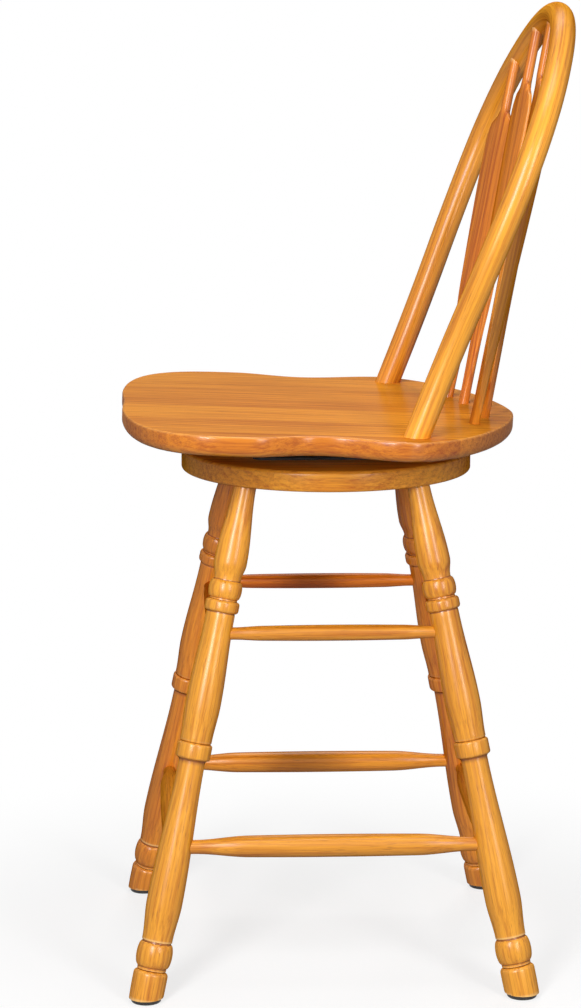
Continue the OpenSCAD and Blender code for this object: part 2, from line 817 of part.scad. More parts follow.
// A turned stretcher between the middles of two legs, with an even middle and tapered ends
module rung(p, q, mid_d, end_d, even, leg_d) {
    length = norm(q - p);
    start = end_d / 2 + rung_wall + end_gap;
    half = [[0, start], [end_d / 2, start], [end_d / 2, leg_d / 2], [mid_d / 2 - 0.6, (length - even) / 2 - 3],
        [mid_d / 2, (length - even) / 2 + 2]];
    color(wood)
        along(p, q)
            rotate_extrude($fn = round_fn)
                polygon(concat(half, [for (i = [len(half) - 1 : -1 : 0]) [half[i][0], length - half[i][1]]]));
}

module low_rung(p, q) {
    rung(p, q, low_rung_d, low_rung_end_d, low_rung_even, calf_d);
}

module high_rung(p, q) {
    rung(p, q, high_rung_d, high_rung_end_d, high_rung_even, thigh_d);
}

module stretcher_front_lower() {
    low_rung(leg_at(-1, -1, low_end_z), leg_at(1, -1, low_end_z));
}

module stretcher_back_lower() {
    low_rung(leg_at(-1, 1, low_end_z), leg_at(1, 1, low_end_z));
}

module stretcher_left_lower() {
    low_rung(leg_at(1, -1, low_side_z), leg_at(1, 1, low_side_z));
}

module stretcher_right_lower() {
    low_rung(leg_at(-1, -1, low_side_z), leg_at(-1, 1, low_side_z));
}

module stretcher_front_upper() {
    high_rung(leg_at(-1, -1, high_end_z), leg_at(1, -1, high_end_z));
}

module stretcher_back_upper() {
    high_rung(leg_at(-1, 1, high_end_z), leg_at(1, 1, high_end_z));
}

module stretcher_left_upper() {
    high_rung(leg_at(1, -1, high_side_z), leg_at(1, 1, high_side_z));
}

module stretcher_right_upper() {
    high_rung(leg_at(-1, -1, high_side_z), leg_at(-1, 1, high_side_z));
}

// Glides

nail_head_d = 9;
nail_head_h = 1.2;
glide_recess = 1.5;

function glide_middle(x, y) = let (p = leg_at(x, y, glide_h)) [p[0], p[1], 0];

module glide(x, y) {
    color(glide_black)
        translate(glide_middle(x, y))
            rotate_extrude($fn = round_fn)
                polygon([
                    [nail_d / 2 + glue_gap, glide_recess + nail_head_h],
                    [nail_head_d / 2 + 1, glide_recess + nail_head_h],
                    [nail_head_d / 2 + 1.5, 0],
                    [glide_d / 2 - 1.5, 0],
                    [glide_d / 2 - 0.5, 0.5],
                    [glide_d / 2, 1.5],
                    [glide_d / 2, glide_h],
                    [nail_d / 2 + glue_gap, glide_h]]);
}

module glide_front_left() {
    glide(1, -1);
}

module glide_front_right() {
    glide(-1, -1);
}

module glide_back_left() {
    glide(1, 1);
}

module glide_back_right() {
    glide(-1, 1);
}

module glide_nails() {
    color(zinc)
        for (x = [-1, 1], y = [-1, 1])
            translate(glide_middle(x, y) + [0, 0, glide_recess])
                rotate_extrude($fn = small_fn)
                    polygon([
                        [0, 0],
                        [nail_head_d / 2, 0],
                        [nail_head_d / 2, nail_head_h],
                        [nail_d / 2, nail_head_h],
                        [nail_d / 2, glide_h - glide_recess + nail_len - nail_d],
                        [0, glide_h - glide_recess + nail_len]]);
}

base_disc();
leg_front_left();
leg_front_right();
leg_back_left();
leg_back_right();
stretcher_front_lower();
stretcher_back_lower();
stretcher_left_lower();
stretcher_right_lower();
stretcher_front_upper();
stretcher_back_upper();
stretcher_left_upper();
stretcher_right_upper();
glide_front_left();
glide_front_right();
glide_back_left();
glide_back_right();
glide_nails();
lower_swivel_plate();
lower_plate_screws();
swivel_balls();
ball_cage();
upper_swivel_plate();
upper_plate_screws();
swivel_pin();
seat();
back_bow();
spindle_middle();
spindle_left_inner();
spindle_left_outer();
spindle_right_inner();
spindle_right_outer();
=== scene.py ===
import math

import bmesh
import bpy
from bpy.props import FloatProperty, FloatVectorProperty, IntProperty, PointerProperty
from bpy.types import Operator, Panel, PropertyGroup
from mathutils import Matrix, Vector


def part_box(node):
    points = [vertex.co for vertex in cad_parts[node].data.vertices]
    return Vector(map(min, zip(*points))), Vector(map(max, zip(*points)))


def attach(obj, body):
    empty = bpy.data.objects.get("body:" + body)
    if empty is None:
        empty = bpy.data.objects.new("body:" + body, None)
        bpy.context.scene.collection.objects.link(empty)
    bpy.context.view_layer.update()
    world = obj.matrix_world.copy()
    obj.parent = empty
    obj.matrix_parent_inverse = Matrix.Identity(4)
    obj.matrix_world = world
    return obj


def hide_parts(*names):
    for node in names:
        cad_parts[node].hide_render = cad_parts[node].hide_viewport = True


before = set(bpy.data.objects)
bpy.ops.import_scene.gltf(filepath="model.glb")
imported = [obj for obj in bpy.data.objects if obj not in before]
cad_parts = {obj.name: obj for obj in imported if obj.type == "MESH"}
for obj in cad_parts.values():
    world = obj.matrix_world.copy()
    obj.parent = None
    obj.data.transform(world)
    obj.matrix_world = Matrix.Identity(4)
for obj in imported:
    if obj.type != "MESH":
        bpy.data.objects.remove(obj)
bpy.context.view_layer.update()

bl_info = {
    "name": "Swivel bar stool",
    "version": (1, 0, 0),
    "blender": (4, 5, 0),
    "location": "3D View > Sidebar > Stool",
    "description": "Models and finishes a wooden swivel bar stool over its CAD frame",
    "category": "Object",
}

NEAR = 1e-6  # Two corners or heights closer than this are one, in metres

# Places follow the frame: +Z is up, the sitter faces -Y and the sitter's left is +X.


def length_prop(name, description, default):
    return FloatProperty(
        name=name, description=description, default=default, unit="LENGTH", precision=4)


def angle_prop(name, description, degrees):
    return FloatProperty(
        name=name, description=description, default=math.radians(degrees), subtype="ANGLE")


def colour_prop(name, description, default):
    return FloatVectorProperty(
        name=name, description=description, default=default, subtype="COLOR", min=0, max=1)


def power_prop(name, description, default):
    return FloatProperty(name=name, description=description, default=default, unit="POWER")


class StoolSeatSizes(PropertyGroup):
    height: length_prop("Seat height", "Height of the seat's top face on the swivel axis", 0.610)
    thickness: length_prop("Thickness", "Thickness of the seat board", 0.022)
    tilt: angle_prop("Tilt", "Angle by which the seat leans back", 2.1)
    front: length_prop("Front reach", "Distance from the axis to the front edge", 0.2233)
    back: length_prop("Back reach", "Distance from the axis to the back edge", 0.205)
    dip: length_prop("Front dip", "Depth of the shallow dip in the front edge", 0.0023)
    dip_reach: length_prop("Dip reach", "Half the width of that dip", 0.070)
    front_lobe_x: length_prop("Front lobe", "Half width of the seat at its front lobes", 0.232)
    front_lobe_y: length_prop(
        "Front lobe place", "Distance of the front lobes in front of the axis", 0.0945)
    front_corner: FloatProperty(
        name="Front corner", description="Squareness of the front corners, where 2 is an ellipse",
        default=3.05)
    waist_x: length_prop("Waist", "Half width of the seat at its waist", 0.210)
    waist_y: length_prop("Waist place", "Distance of the waist in front of the axis", 0.017)
    rear_lobe_x: length_prop("Rear lobe", "Half width of the seat at its rear lobes", 0.233)
    rear_lobe_y: length_prop("Rear lobe place", "Distance of the rear lobes behind the axis", 0.076)
    rear_corner: FloatProperty(
        name="Rear corner", description="Squareness of the rear corners, where 2 is an ellipse",
        default=1.65)
    top_round: length_prop("Upper edge", "Radius of the seat's upper edge", 0.0025)
    under_round: length_prop("Lower edge", "Radius of the seat's lower edge", 0.010)


class StoolBowSizes(PropertyGroup):
    diameter: length_prop("Diameter", "Diameter of the bent bow", 0.027)
    lean: angle_prop("Lean", "Angle by which the bow leans back from upright", 21.1)
    foot_x: length_prop("Foot spacing", "Half the spacing of the bow's feet", 0.194)
    foot_y: length_prop("Foot place", "Distance of the bow's feet behind the axis", 0.0827)
    socket: length_prop("Socket", "Depth of the bow's feet in the seat", 0.016)
    straight: length_prop("Straight", "Straight length of the bow above the seat", 0.040)
    spread: length_prop("Spread", "How far each arm of the bow spreads outwards", 0.028)
    wide_at: length_prop("Widest at", "Distance up the bow at which it is widest", 0.275)
    crown_at: length_prop("Crown at", "Distance up the bow to its crown", 0.457)
    shoulder_r: length_prop("Shoulder bend", "Bend radius of the bow's shoulders", 0.155)


class StoolSpindleSizes(PropertyGroup):
    each_side: IntProperty(
        name="Each side", description="Number of spindles on each side of the middle one",
        default=2)
    foot_pitch: length_prop("Foot pitch", "Spacing of the spindles' feet across the seat", 0.0465)
    top_pitch: length_prop("Top pitch", "Spacing of the spindles' tops across the bow", 0.077)
    top_fore: length_prop(
        "Top place", "Distance of the spindles' tops in front of the bow's middle line", 0.005)
    row_y: length_prop("Row place", "Distance of the middle spindle's foot behind the axis", 0.165)
    row_r: length_prop("Row curve", "Radius of the curve that the spindles' feet stand on", 0.249)
    end_d: length_prop("Round end", "Diameter of a spindle's round ends", 0.011)
    blade_w: length_prop("Blade width", "Width of a blade at its shoulders", 0.048)
    blade_low_w: length_prop(
        "Lower blade width", "Width of a blade where its long taper ends", 0.037)
    blade_thk: length_prop("Blade thickness", "Thickness of a blade", 0.0086)
    blade_edge: length_prop("Blade edge", "Thickness of a blade's long edges", 0.0036)
    turn: angle_prop("Turn", "Turn of the blades from each spindle to the next", 15)
    stem: length_prop(
        "Stem", "Length of the round stem from the bow's middle to the shoulders", 0.066)
    shoulder: length_prop(
        "Shoulder", "Length over which the shoulders spread to the full width", 0.026)
    low_at: length_prop("Taper end", "Distance above the seat at which the long taper ends", 0.130)
    socket: length_prop("Socket", "Depth of the spindles' feet in the seat", 0.014)


class StoolBaseSizes(PropertyGroup):
    disc_d: length_prop("Disc", "Diameter of the base disc", 0.3164)
    disc_top_round: length_prop("Disc upper edge", "Radius of the disc's upper edge", 0.004)
    disc_under_round: length_prop("Disc lower edge", "Radius of the disc's lower edge", 0.003)
    access_d: length_prop(
        "Access hole", "Diameter of the hole through which the seat is screwed on", 0.020)
    access_y: length_prop(
        "Access hole place", "Distance of that hole in front of the axis", 0.068 * math.sqrt(2))
    leg_foot_x: length_prop(
        "Foot, sideways", "Sideways distance of a leg's middle at the floor", 0.199)
    leg_foot_y: length_prop(
        "Foot, lengthways", "Lengthways distance of a leg's middle at the floor", 0.202)
    leg_top_x: length_prop(
        "Top, sideways", "Sideways distance of a leg's middle under the disc", 0.108)
    leg_top_y: length_prop(
        "Top, lengthways", "Lengthways distance of a leg's middle under the disc", 0.092)
    leg_socket: length_prop("Leg socket", "Depth of the legs in the disc", 0.015)
    low_side_z: length_prop("Lower side rungs", "Height of the lower side stretchers", 0.162)
    low_end_z: length_prop(
        "Lower end rungs", "Height of the lower front and back stretchers", 0.156)
    high_side_z: length_prop("Upper side rungs", "Height of the upper side stretchers", 0.386)
    high_end_z: length_prop(
        "Upper end rungs", "Height of the upper front and back stretchers", 0.383)
    glide_d: length_prop("Glide", "Diameter of the floor glides", 0.032)
    glide_h: length_prop("Glide height", "Height of the floor glides", 0.005)


class StoolLegSizes(PropertyGroup):
    neck_d: length_prop("Neck", "Diameter of the leg where it enters the disc", 0.024)
    foot_d: length_prop("Foot block", "Diameter of the foot block at its fullest", 0.037)
    foot_top: length_prop("Foot block top", "Height of the foot block's top", 0.032)
    foot_neck_d: length_prop("Foot groove", "Diameter of the groove over the foot block", 0.032)
    foot_bead_low: length_prop("Foot bead, lower", "Height of the foot bead's lower edge", 0.037)
    foot_bead_high: length_prop("Foot bead, upper", "Height of the foot bead's upper edge", 0.062)
    foot_bead_d: length_prop("Foot bead", "Diameter of the foot bead", 0.0386)
    ankle_d: length_prop("Ankle", "Diameter of the waist over the foot bead", 0.0306)
    calf_at: length_prop("Calf height", "Height of the lower swell's fullest place", 0.105)
    calf_d: length_prop("Calf", "Diameter of the lower swell", 0.0384)
    mid_ring_low: length_prop("Middle ring height", "Height of the middle ring's lower edge", 0.255)
    mid_ring_w: length_prop("Middle ring width", "Width of the middle ring", 0.017)
    mid_ring_d: length_prop("Middle ring", "Diameter of the middle ring", 0.0374)
    shin_d: length_prop("Shin", "Diameter of the leg just below the middle ring", 0.0286)
    knee_at: length_prop("Knee height", "Height of the middle swell's fullest place", 0.313)
    knee_d: length_prop("Knee", "Diameter of the middle swell", 0.038)
    top_ring_low: length_prop("Upper ring height", "Height of the upper ring's lower edge", 0.409)
    top_ring_w: length_prop("Upper ring width", "Width of the upper ring", 0.0124)
    top_ring_d: length_prop(
        "Upper ring", "Diameter of the upper ring and of the bead over it", 0.036)
    top_bead_w: length_prop("Upper bead width", "Width of the bead over the upper ring", 0.0186)
    thigh_d: length_prop("Thigh", "Diameter of the leg just below the upper ring", 0.031)
    hip_at: length_prop("Hip height", "Height of the upper swell's fullest place", 0.461)
    hip_d: length_prop("Hip", "Diameter of the upper swell", 0.0354)
    groove: length_prop("Groove", "Depth of the narrow grooves between rings and beads", 0.0017)


class StoolRungSizes(PropertyGroup):
    low_d: length_prop("Lower rungs", "Diameter of the lower stretchers in the middle", 0.0244)
    low_end_d: length_prop(
        "Lower rung ends", "Diameter of the lower stretchers at their ends", 0.015)
    high_d: length_prop("Upper rungs", "Diameter of the upper stretchers in the middle", 0.0172)
    high_end_d: length_prop(
        "Upper rung ends", "Diameter of the upper stretchers at their ends", 0.0132)
    low_even: length_prop(
        "Lower rung middle", "Length of the even middle of the lower stretchers", 0.183)
    high_even: length_prop(
        "Upper rung middle", "Length of the even middle of the upper stretchers", 0.152)
    wall: length_prop("Wall", "Wood left between two stretchers that meet in one leg", 0.0006)


class StoolFinish(PropertyGroup):
    light: colour_prop("Light wood", "Colour of the open early wood", (0.93, 0.40, 0.034))
    dark: colour_prop("Dark wood", "Colour of the dense late wood", (0.44, 0.10, 0.005))
    pore: colour_prop(
        "Pores", "Colour of the stain that collects in the pores", (0.30, 0.085, 0.016))
    glide: colour_prop("Glides", "Colour of the moulded floor glides", (0.018, 0.016, 0.015))
    steel: colour_prop(
        "Blackened steel", "Colour of the oiled black swivel and its screws", (0.016, 0.014, 0.013))
    brass: colour_prop("Ball cage", "Colour of the ring that spaces the balls", (0.62, 0.42, 0.15))


class StoolStage(PropertyGroup):
    lens: FloatProperty(
        name="Lens", description="Focal length for the upright side of the picture, in mm",
        default=118.13)
    eye: FloatVectorProperty(
        name="Camera", description="Place of the camera", subtype="XYZ", unit="LENGTH",
        default=(3.5672, -0.2162, 1.1694))
    turn: angle_prop("Camera turn", "Turn of the view from straight across the stool", 2.85)
    pitch: angle_prop("Camera pitch", "Angle by which the view looks down", 10.605)
    roll: angle_prop("Camera roll", "Roll of the camera about its view", 0.149)
    surround: FloatProperty(
        name="Surround", description="Strength of the even light from all round", default=0.04)
    key: power_prop("Key light", "Power of the large lamp beside the camera", 50)
    fill: power_prop("Fill light", "Power of the lamp on the camera's other side", 25)
    top: power_prop("Top light", "Power of the lamp over the stool", 8)
    back: power_prop("Back light", "Power of the lamp behind the stool, away from the camera", 16)


# Shapes


def ease(a, b, t):
    """A smooth step from a to b, level at both ends."""
    return a + (b - a) * (1 - math.cos(math.pi * t)) / 2


def swell(start, end, steps=16):
    """A smooth run of a turned outline between two (radius, height) points, level at both ends."""
    rise = end[1] - start[1]
    return [(ease(start[0], end[0], i / steps), start[1] + rise * i / steps)
            for i in range(steps + 1)]


def quarter_turn(steps):
    """Even angles from 0 to a right angle."""
    return [math.pi / 2 * i / steps for i in range(steps + 1)]


def bead(base_r, top_r, low, high, steps=18):
    """A half round bead of a turned outline."""
    middle, half = (low + high) / 2, (high - low) / 2
    angles = [math.pi * i / steps for i in range(steps + 1)]
    return [(base_r + (top_r - base_r) * math.sin(a), middle - half * math.cos(a)) for a in angles]


def ring(r, low, high, rounding, steps=5):
    """A flat ring of a turned outline with rounded corners."""
    lower = [(r - rounding + rounding * math.sin(a), low + rounding - rounding * math.cos(a))
             for a in quarter_turn(steps)]
    return lower + [(x, low + high - z) for x, z in reversed(lower)]


def along(start, end):
    """The matrix that puts a piece made up +Z from the origin onto the line from start to end."""
    d = end - start
    tip = Matrix.Rotation(-math.atan2(d.y, math.hypot(d.x, d.z)), 4, "X")
    lean = Matrix.Rotation(math.atan2(d.x, d.z), 4, "Y")
    return Matrix.Translation(start) @ lean @ tip


def on_seat(seat):
    """The matrix that lays what is drawn flat onto the seat's top plane."""
    return Matrix.Translation((0, 0, seat.height)) @ Matrix.Rotation(-seat.tilt, 4, "X")


def seat_point(seat, x, y):
    return Vector((x, y, seat.height - y * math.tan(seat.tilt)))


def verts_in(geom):
    return [g for g in geom if isinstance(g, bmesh.types.BMVert)]


def edges_in(geom):
    return [g for g in geom if isinstance(g, bmesh.types.BMEdge)]


def edges_at(bm, level):
    """The edges that lie flat at one height."""
    return [e for e in bm.edges if all(abs(v.co.z - level) < NEAR for v in e.verts)]


def grow(bm, edges):
    """Extrudes a loop of edges in place, and gives the new loop's corners and edges."""
    grown = bmesh.ops.extrude_edge_only(bm, edges=edges)["geom"]
    verts = verts_in(grown)
    fresh = set(verts)
    return verts, [e for e in edges_in(grown) if all(v in fresh for v in e.verts)]


def into_scene(name, data):
    made = bpy.data.objects.new(name, data)
    bpy.context.scene.collection.objects.link(made)
    return made


def note_grain(bm, offset, swap=False):
    """Keeps each corner's place in its own blank, the length of the grain last, for the wood."""
    layer = bm.verts.layers.float_vector.new("grain")
    shift = Vector(offset)
    for v in bm.verts:
        place = Vector((v.co.x, v.co.z, v.co.y)) if swap else v.co
        v[layer] = place + shift


def note_edges(bm):
    """Keeps how sharply the surface bends out (above 0) or in (below 0) at each corner."""
    layer = bm.verts.layers.float.new("edge")
    for v in bm.verts:
        bends = [-(e.other_vert(v).co - v.co).normalized().dot(v.normal) for e in v.link_edges]
        v[layer] = sum(bends) / max(1, len(bends))


def finish_piece(bm, name, body, material, nodes, crease=math.radians(35)):
    """Closes a bmesh into a piece that stands for its CAD nodes and rides on their body."""
    bmesh.ops.recalc_face_normals(bm, faces=bm.faces)
    bm.normal_update()
    note_edges(bm)
    for face in bm.faces:
        face.smooth = True
    for edge in bm.edges:
        edge.smooth = edge.calc_face_angle(0) < crease
    mesh = bpy.data.meshes.new(name)
    bm.to_mesh(mesh)
    bm.free()
    mesh.materials.append(material)
    piece = into_scene(name, mesh)
    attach(piece, body)
    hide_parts(*nodes)


def turned(outline, sides=72):
    """A bmesh turned about +Z from (radius, height) points."""
    bm = bmesh.new()
    corners = [bm.verts.new((r, 0, z)) for r, z in outline]
    lines = [bm.edges.new(pair) for pair in zip(corners, corners[1:])]
    bmesh.ops.spin(
        bm, geom=corners + lines, cent=(0, 0, 0), axis=(0, 0, 1), angle=math.tau,
        steps=sides, use_merge=True)
    bmesh.ops.remove_doubles(bm, verts=bm.verts, dist=NEAR)
    return bm


# Finishes


def add(tree, kind, inputs=None, **settings):
    """A new node, with its settings, and its inputs given as values or linked from sockets."""
    made = tree.nodes.new(kind)
    for name, value in settings.items():
        setattr(made, name, value)
    for key, value in (inputs or {}).items():
        if isinstance(value, bpy.types.NodeSocket):
            tree.links.new(value, made.inputs[key])
        else:
            made.inputs[key].default_value = value
    return made


def maths(tree, operation, a, b=0.0, clamp=False):
    made = add(tree, "ShaderNodeMath", {0: a, 1: b}, operation=operation, use_clamp=clamp)
    return made.outputs[0]


def times(tree, a, b):
    return maths(tree, "MULTIPLY", a, b)


def total(tree, first, *others):
    for other in others:
        first = maths(tree, "ADD", first, other)
    return first


def spread(tree, value, low, high, to_low=0.0, to_high=1.0):
    """The value moved smoothly from its own range into another one."""
    made = add(
        tree, "ShaderNodeMapRange", {0: value, 1: low, 2: high, 3: to_low, 4: to_high},
        interpolation_type="SMOOTHSTEP")
    return made.outputs[0]


def blend_colour(tree, share, first, second, kind="MIX"):
    made = add(tree, "ShaderNodeMix", {0: share, 6: first, 7: second}, data_type="RGBA",
               blend_type=kind)
    return made.outputs[2]


def stretched_noise(tree, grain, across, lengthways, detail=2.0, roughness=0.5, shift=0.0):
    """Noise drawn out along the grain, its scales across and lengthways in features per metre."""
    scaled = add(
        tree, "ShaderNodeMapping",
        {"Vector": grain, "Location": (shift, 2 * shift, 0), "Scale": (across, across, lengthways)})
    made = add(
        tree, "ShaderNodeTexNoise",
        {"Vector": scaled.outputs[0], "Scale": 1.0, "Detail": detail, "Roughness": roughness})
    return made.outputs["Fac"]


def new_group(name, inputs, outputs):
    """An empty shader node group with named sockets: {name: (socket kind, default)}."""
    tree = bpy.data.node_groups.new(name, "ShaderNodeTree")
    for label, (kind, default) in inputs.items():
        socket = tree.interface.new_socket(label, in_out="INPUT", socket_type=kind)
        socket.default_value = default
    for label, kind in outputs.items():
        tree.interface.new_socket(label, in_out="OUTPUT", socket_type=kind)
    return tree, tree.nodes.new("NodeGroupInput").outputs, tree.nodes.new("NodeGroupOutput").inputs


def oak_group():
    """Stained oak: growth layers, streaks, fibres, dark pores, and wear and painted highlight on edges.
    """
    colour, number, vector = "NodeSocketColor", "NodeSocketFloat", "NodeSocketVector"
    tree, given, out = new_group(
        "Stained oak",
        {"Grain": (vector, (0, 0, 0)), "Edge": (number, 0.0), "Light": (colour, (0.8, 0.4, 0.1, 1)),
         "Dark": (colour, (0.6, 0.2, 0.04, 1)), "Pore": (colour, (0.3, 0.08, 0.02, 1)),
         "Layer width": (number, 0.005), "Layer share": (number, 0.4), "Pore share": (number, 0.5),
         "Board width": (number, 10.0)},
        {"Color": colour, "Roughness": number, "Height": number})
    place = add(tree, "ShaderNodeSeparateXYZ", {0: given["Grain"]}).outputs
    board = maths(tree, "FLOOR", maths(tree, "DIVIDE", place[0], given["Board width"]))
    board_mark = add(tree, "ShaderNodeTexWhiteNoise", {"W": board}, noise_dimensions="1D").outputs
    drift = times(tree, board_mark["Value"], 0.7)
    own = add(tree, "ShaderNodeCombineXYZ", {0: drift, 1: drift, 2: drift}).outputs[0]
    grain = add(tree, "ShaderNodeVectorMath", {0: given["Grain"], 1: own}, operation="ADD").outputs[0]
    bow = stretched_noise(tree, grain, 16, 2.2, 2.0, 0.45)
    wobble = stretched_noise(tree, grain, 70, 5, 2.0, 0.5, 3.1)
    streak = stretched_noise(tree, grain, 300, 5.0, 4.0, 0.7, 7.7)
    fibre = stretched_noise(tree, grain, 1100, 10, 2.0, 0.6, 1.3)
    pore_noise = stretched_noise(tree, grain, 900, 55, 1.0, 0.5, 5.9)
    tone = stretched_noise(tree, grain, 9, 3, 1.0, 0.5, 9.2)
    lean_in = times(tree, place[1], 0.45)
    depth = total(tree, place[0], lean_in, drift, times(tree, bow, 0.05), times(tree, wobble, 0.004))
    layer = maths(tree, "FRACT", maths(tree, "DIVIDE", depth, given["Layer width"]))
    late = times(tree, spread(tree, layer, 0.15, 0.8), spread(tree, layer, 1.0, 0.86))
    share = total(
        tree, times(tree, late, given["Layer share"]),
        spread(tree, streak, 0.36, 0.72, -0.04, 0.50), spread(tree, fibre, 0.25, 0.75, -0.09, 0.13),
        spread(tree, tone, 0.32, 0.68, -0.10, 0.26))
    board_tone = spread(tree, board_mark["Value"], 0.0, 1.0, -0.07, 0.09)
    share = maths(tree, "ADD", share, board_tone, clamp=True)
    wood = blend_colour(tree, share, given["Light"], given["Dark"])
    pores = spread(tree, pore_noise, 0.60, 0.72)
    pores = times(tree, pores, spread(tree, streak, 0.35, 0.65, 0.35, 1.0))
    stain = times(tree, pores, given["Pore share"])
    wood = blend_colour(tree, stain, wood, given["Pore"])
    # Convex edges are lightened: wear on the edges, and a painted highlight along the arrises.
    rubbed_and_highlight = spread(tree, given["Edge"], 0.05, 0.26, 0.0, 0.55)
    rubbed_and_highlight_oak = (1.0, 0.66, 0.27, 1)
    wood = blend_colour(tree, rubbed_and_highlight, wood, rubbed_and_highlight_oak)
    # Hollows and grooves are darkened towards the pore colour.
    hollows_darkened = spread(tree, given["Edge"], -0.015, -0.18, 0.0, 0.85)
    tree.links.new(blend_colour(tree, hollows_darkened, wood, given["Pore"]), out["Color"])
    fibre_rough = spread(tree, fibre, 0.2, 0.8, 0.30, 0.42)
    tree.links.new(total(tree, fibre_rough, times(tree, stain, 0.2)), out["Roughness"])
    tree.links.new(maths(tree, "SUBTRACT", times(tree, fibre, 0.35), pores), out["Height"])


def metal_group():
    """Plated metal: fine turning lines, cloudy patches and small scratches."""
    colour, number, vector = "NodeSocketColor", "NodeSocketFloat", "NodeSocketVector"
    tree, given, out = new_group(
        "Plated metal",
        {"Place": (vector, (0, 0, 0)), "Base": (colour, (0.6, 0.6, 0.6, 1)),
         "Patch": (number, 0.25), "Dull": (number, 0.3)},
        {"Color": colour, "Roughness": number, "Height": number})
    place = given["Place"]
    cloud = add(
        tree, "ShaderNodeTexNoise", {"Vector": place, "Scale": 60.0, "Detail": 4.0}).outputs["Fac"]
    cells = add(tree, "ShaderNodeTexVoronoi", {"Vector": place, "Scale": 240.0}).outputs["Color"]
    spangle = add(tree, "ShaderNodeSeparateColor", {0: cells}).outputs[0]
    scratch = stretched_noise(tree, place, 900, 60, 2.0, 0.6)
    share = times(tree, total(tree, cloud, times(tree, spangle, 0.4)), given["Patch"])
    oxide = (0.12, 0.12, 0.13, 1)
    tree.links.new(blend_colour(tree, share, given["Base"], oxide), out["Color"])
    cloud_rough = spread(tree, cloud, 0.3, 0.7, -0.06, 0.12)
    rough = total(tree, given["Dull"], cloud_rough, times(tree, scratch, 0.08))
    tree.links.new(rough, out["Roughness"])
    tree.links.new(scratch, out["Height"])


def new_material(name):
    material = bpy.data.materials.new(name)
    material.use_nodes = True
    tree = material.node_tree
    return material, tree, tree.nodes["Principled BSDF"]


def surface(tree, shader, colour, roughness, height, relief):
    """Feeds a shader its colour and roughness, and a bump map as deep as the relief."""
    made = add(tree, "ShaderNodeBump", {"Height": height, "Distance": relief, "Strength": 0.5})
    for name, output in (("Base Color", colour), ("Roughness", roughness), ("Normal", made.outputs[0])):
        tree.links.new(output, shader.inputs[name])


def seen_directly(tree):
    """1 for what the camera, a gloss or glass shows, and 0 for the light that falls on the stool."""
    rays = add(tree, "ShaderNodeLightPath").outputs
    shown = maths(tree, "MAXIMUM", rays["Is Camera Ray"], rays["Is Glossy Ray"])
    return maths(tree, "MAXIMUM", shown, rays["Is Transmission Ray"])


def group_node(tree, name, inputs):
    return add(tree, "ShaderNodeGroup", inputs, node_tree=bpy.data.node_groups[name]).outputs


def oak(name, tone, layer_width, layer_share, pore_share, board_width=10.0, coat=1.0,
        rim=0.0, wall_darkening=0.0, coat_roughness=0.29):
    """Lacquered oak for one kind of piece. A tone under 1 is darker and redder."""
    finish = bpy.context.scene.stool_finish
    material, tree, shader = new_material(name)
    grain = add(tree, "ShaderNodeAttribute", attribute_name="grain").outputs["Vector"]
    edge = add(tree, "ShaderNodeAttribute", attribute_name="edge").outputs["Fac"]

    # A tone under 1 here is painted shade on the far legs, the spindles and most stretchers.
    def toned(c):
        return (c[0] * tone ** 0.25, c[1] * tone ** 1.1, c[2] * tone ** 1.7, 1)

    wood = group_node(tree, "Stained oak", {
        "Grain": grain, "Edge": edge, "Light": toned(finish.light), "Dark": toned(finish.dark),
        "Pore": toned(finish.pore), "Layer width": layer_width, "Layer share": layer_share,
        "Pore share": pore_share, "Board width": board_width})
    normal = tree.nodes.new("ShaderNodeTexCoord").outputs["Normal"]
    upward = maths(tree, "ABSOLUTE", add(tree, "ShaderNodeSeparateXYZ", {0: normal}).outputs[2])
    # Upright surfaces, such as the seat's edge, are made darker and redder than those facing up or
    # down.
    ends = spread(tree, upward, 0.85, 0.35, 0.0, wall_darkening)
    wall_tint = (0.84, 0.66, 0.45, 1)
    colour = blend_colour(tree, ends, wood["Color"], wall_tint, "MULTIPLY")
    surface(tree, shader, colour, wood["Roughness"], wood["Height"], relief=0.00012)
    shader.inputs["Specular IOR Level"].default_value = 0.0
    facing = add(tree, "ShaderNodeLayerWeight", {"Blend": 0.5}).outputs["Facing"]
    tree.links.new(spread(tree, facing, 0.10, 0.85, coat, rim), shader.inputs["Coat Weight"])
    shader.inputs["Coat Roughness"].default_value = coat_roughness
    return material


def metal(name, base, patch, dull):
    material, tree, shader = new_material(name)
    place = tree.nodes.new("ShaderNodeTexCoord").outputs["Object"]
    plated = group_node(
        tree, "Plated metal", {"Place": place, "Base": (*base, 1), "Patch": patch, "Dull": dull})
    surface(
        tree, shader, plated["Color"], plated["Roughness"], plated["Height"], relief=0.00004)
    shader.inputs["Metallic"].default_value = 1.0
    return material


def moulded_plastic(name, base):
    """Near black moulded plastic, scuffed grey where it has slid on floors."""
    material, tree, shader = new_material(name)
    place = tree.nodes.new("ShaderNodeTexCoord").outputs["Object"]
    pebble = add(
        tree, "ShaderNodeTexNoise", {"Vector": place, "Scale": 1400.0, "Detail": 3.0}).outputs["Fac"]
    scuff = stretched_noise(tree, place, 350, 90, 3.0, 0.6)
    height = add(tree, "ShaderNodeSeparateXYZ", {0: place}).outputs[2]
    sole = spread(tree, height, 0.003, 0.0, 0.15, 0.8)
    worn = times(tree, spread(tree, scuff, 0.5, 0.7), sole)
    scuffed = (0.11, 0.105, 0.10, 1)
    colour = blend_colour(tree, worn, (*base, 1), scuffed)
    roughness = spread(tree, pebble, 0.3, 0.7, 0.38, 0.58)
    surface(tree, shader, colour, roughness, pebble, relief=0.00008)
    return material


# Operators


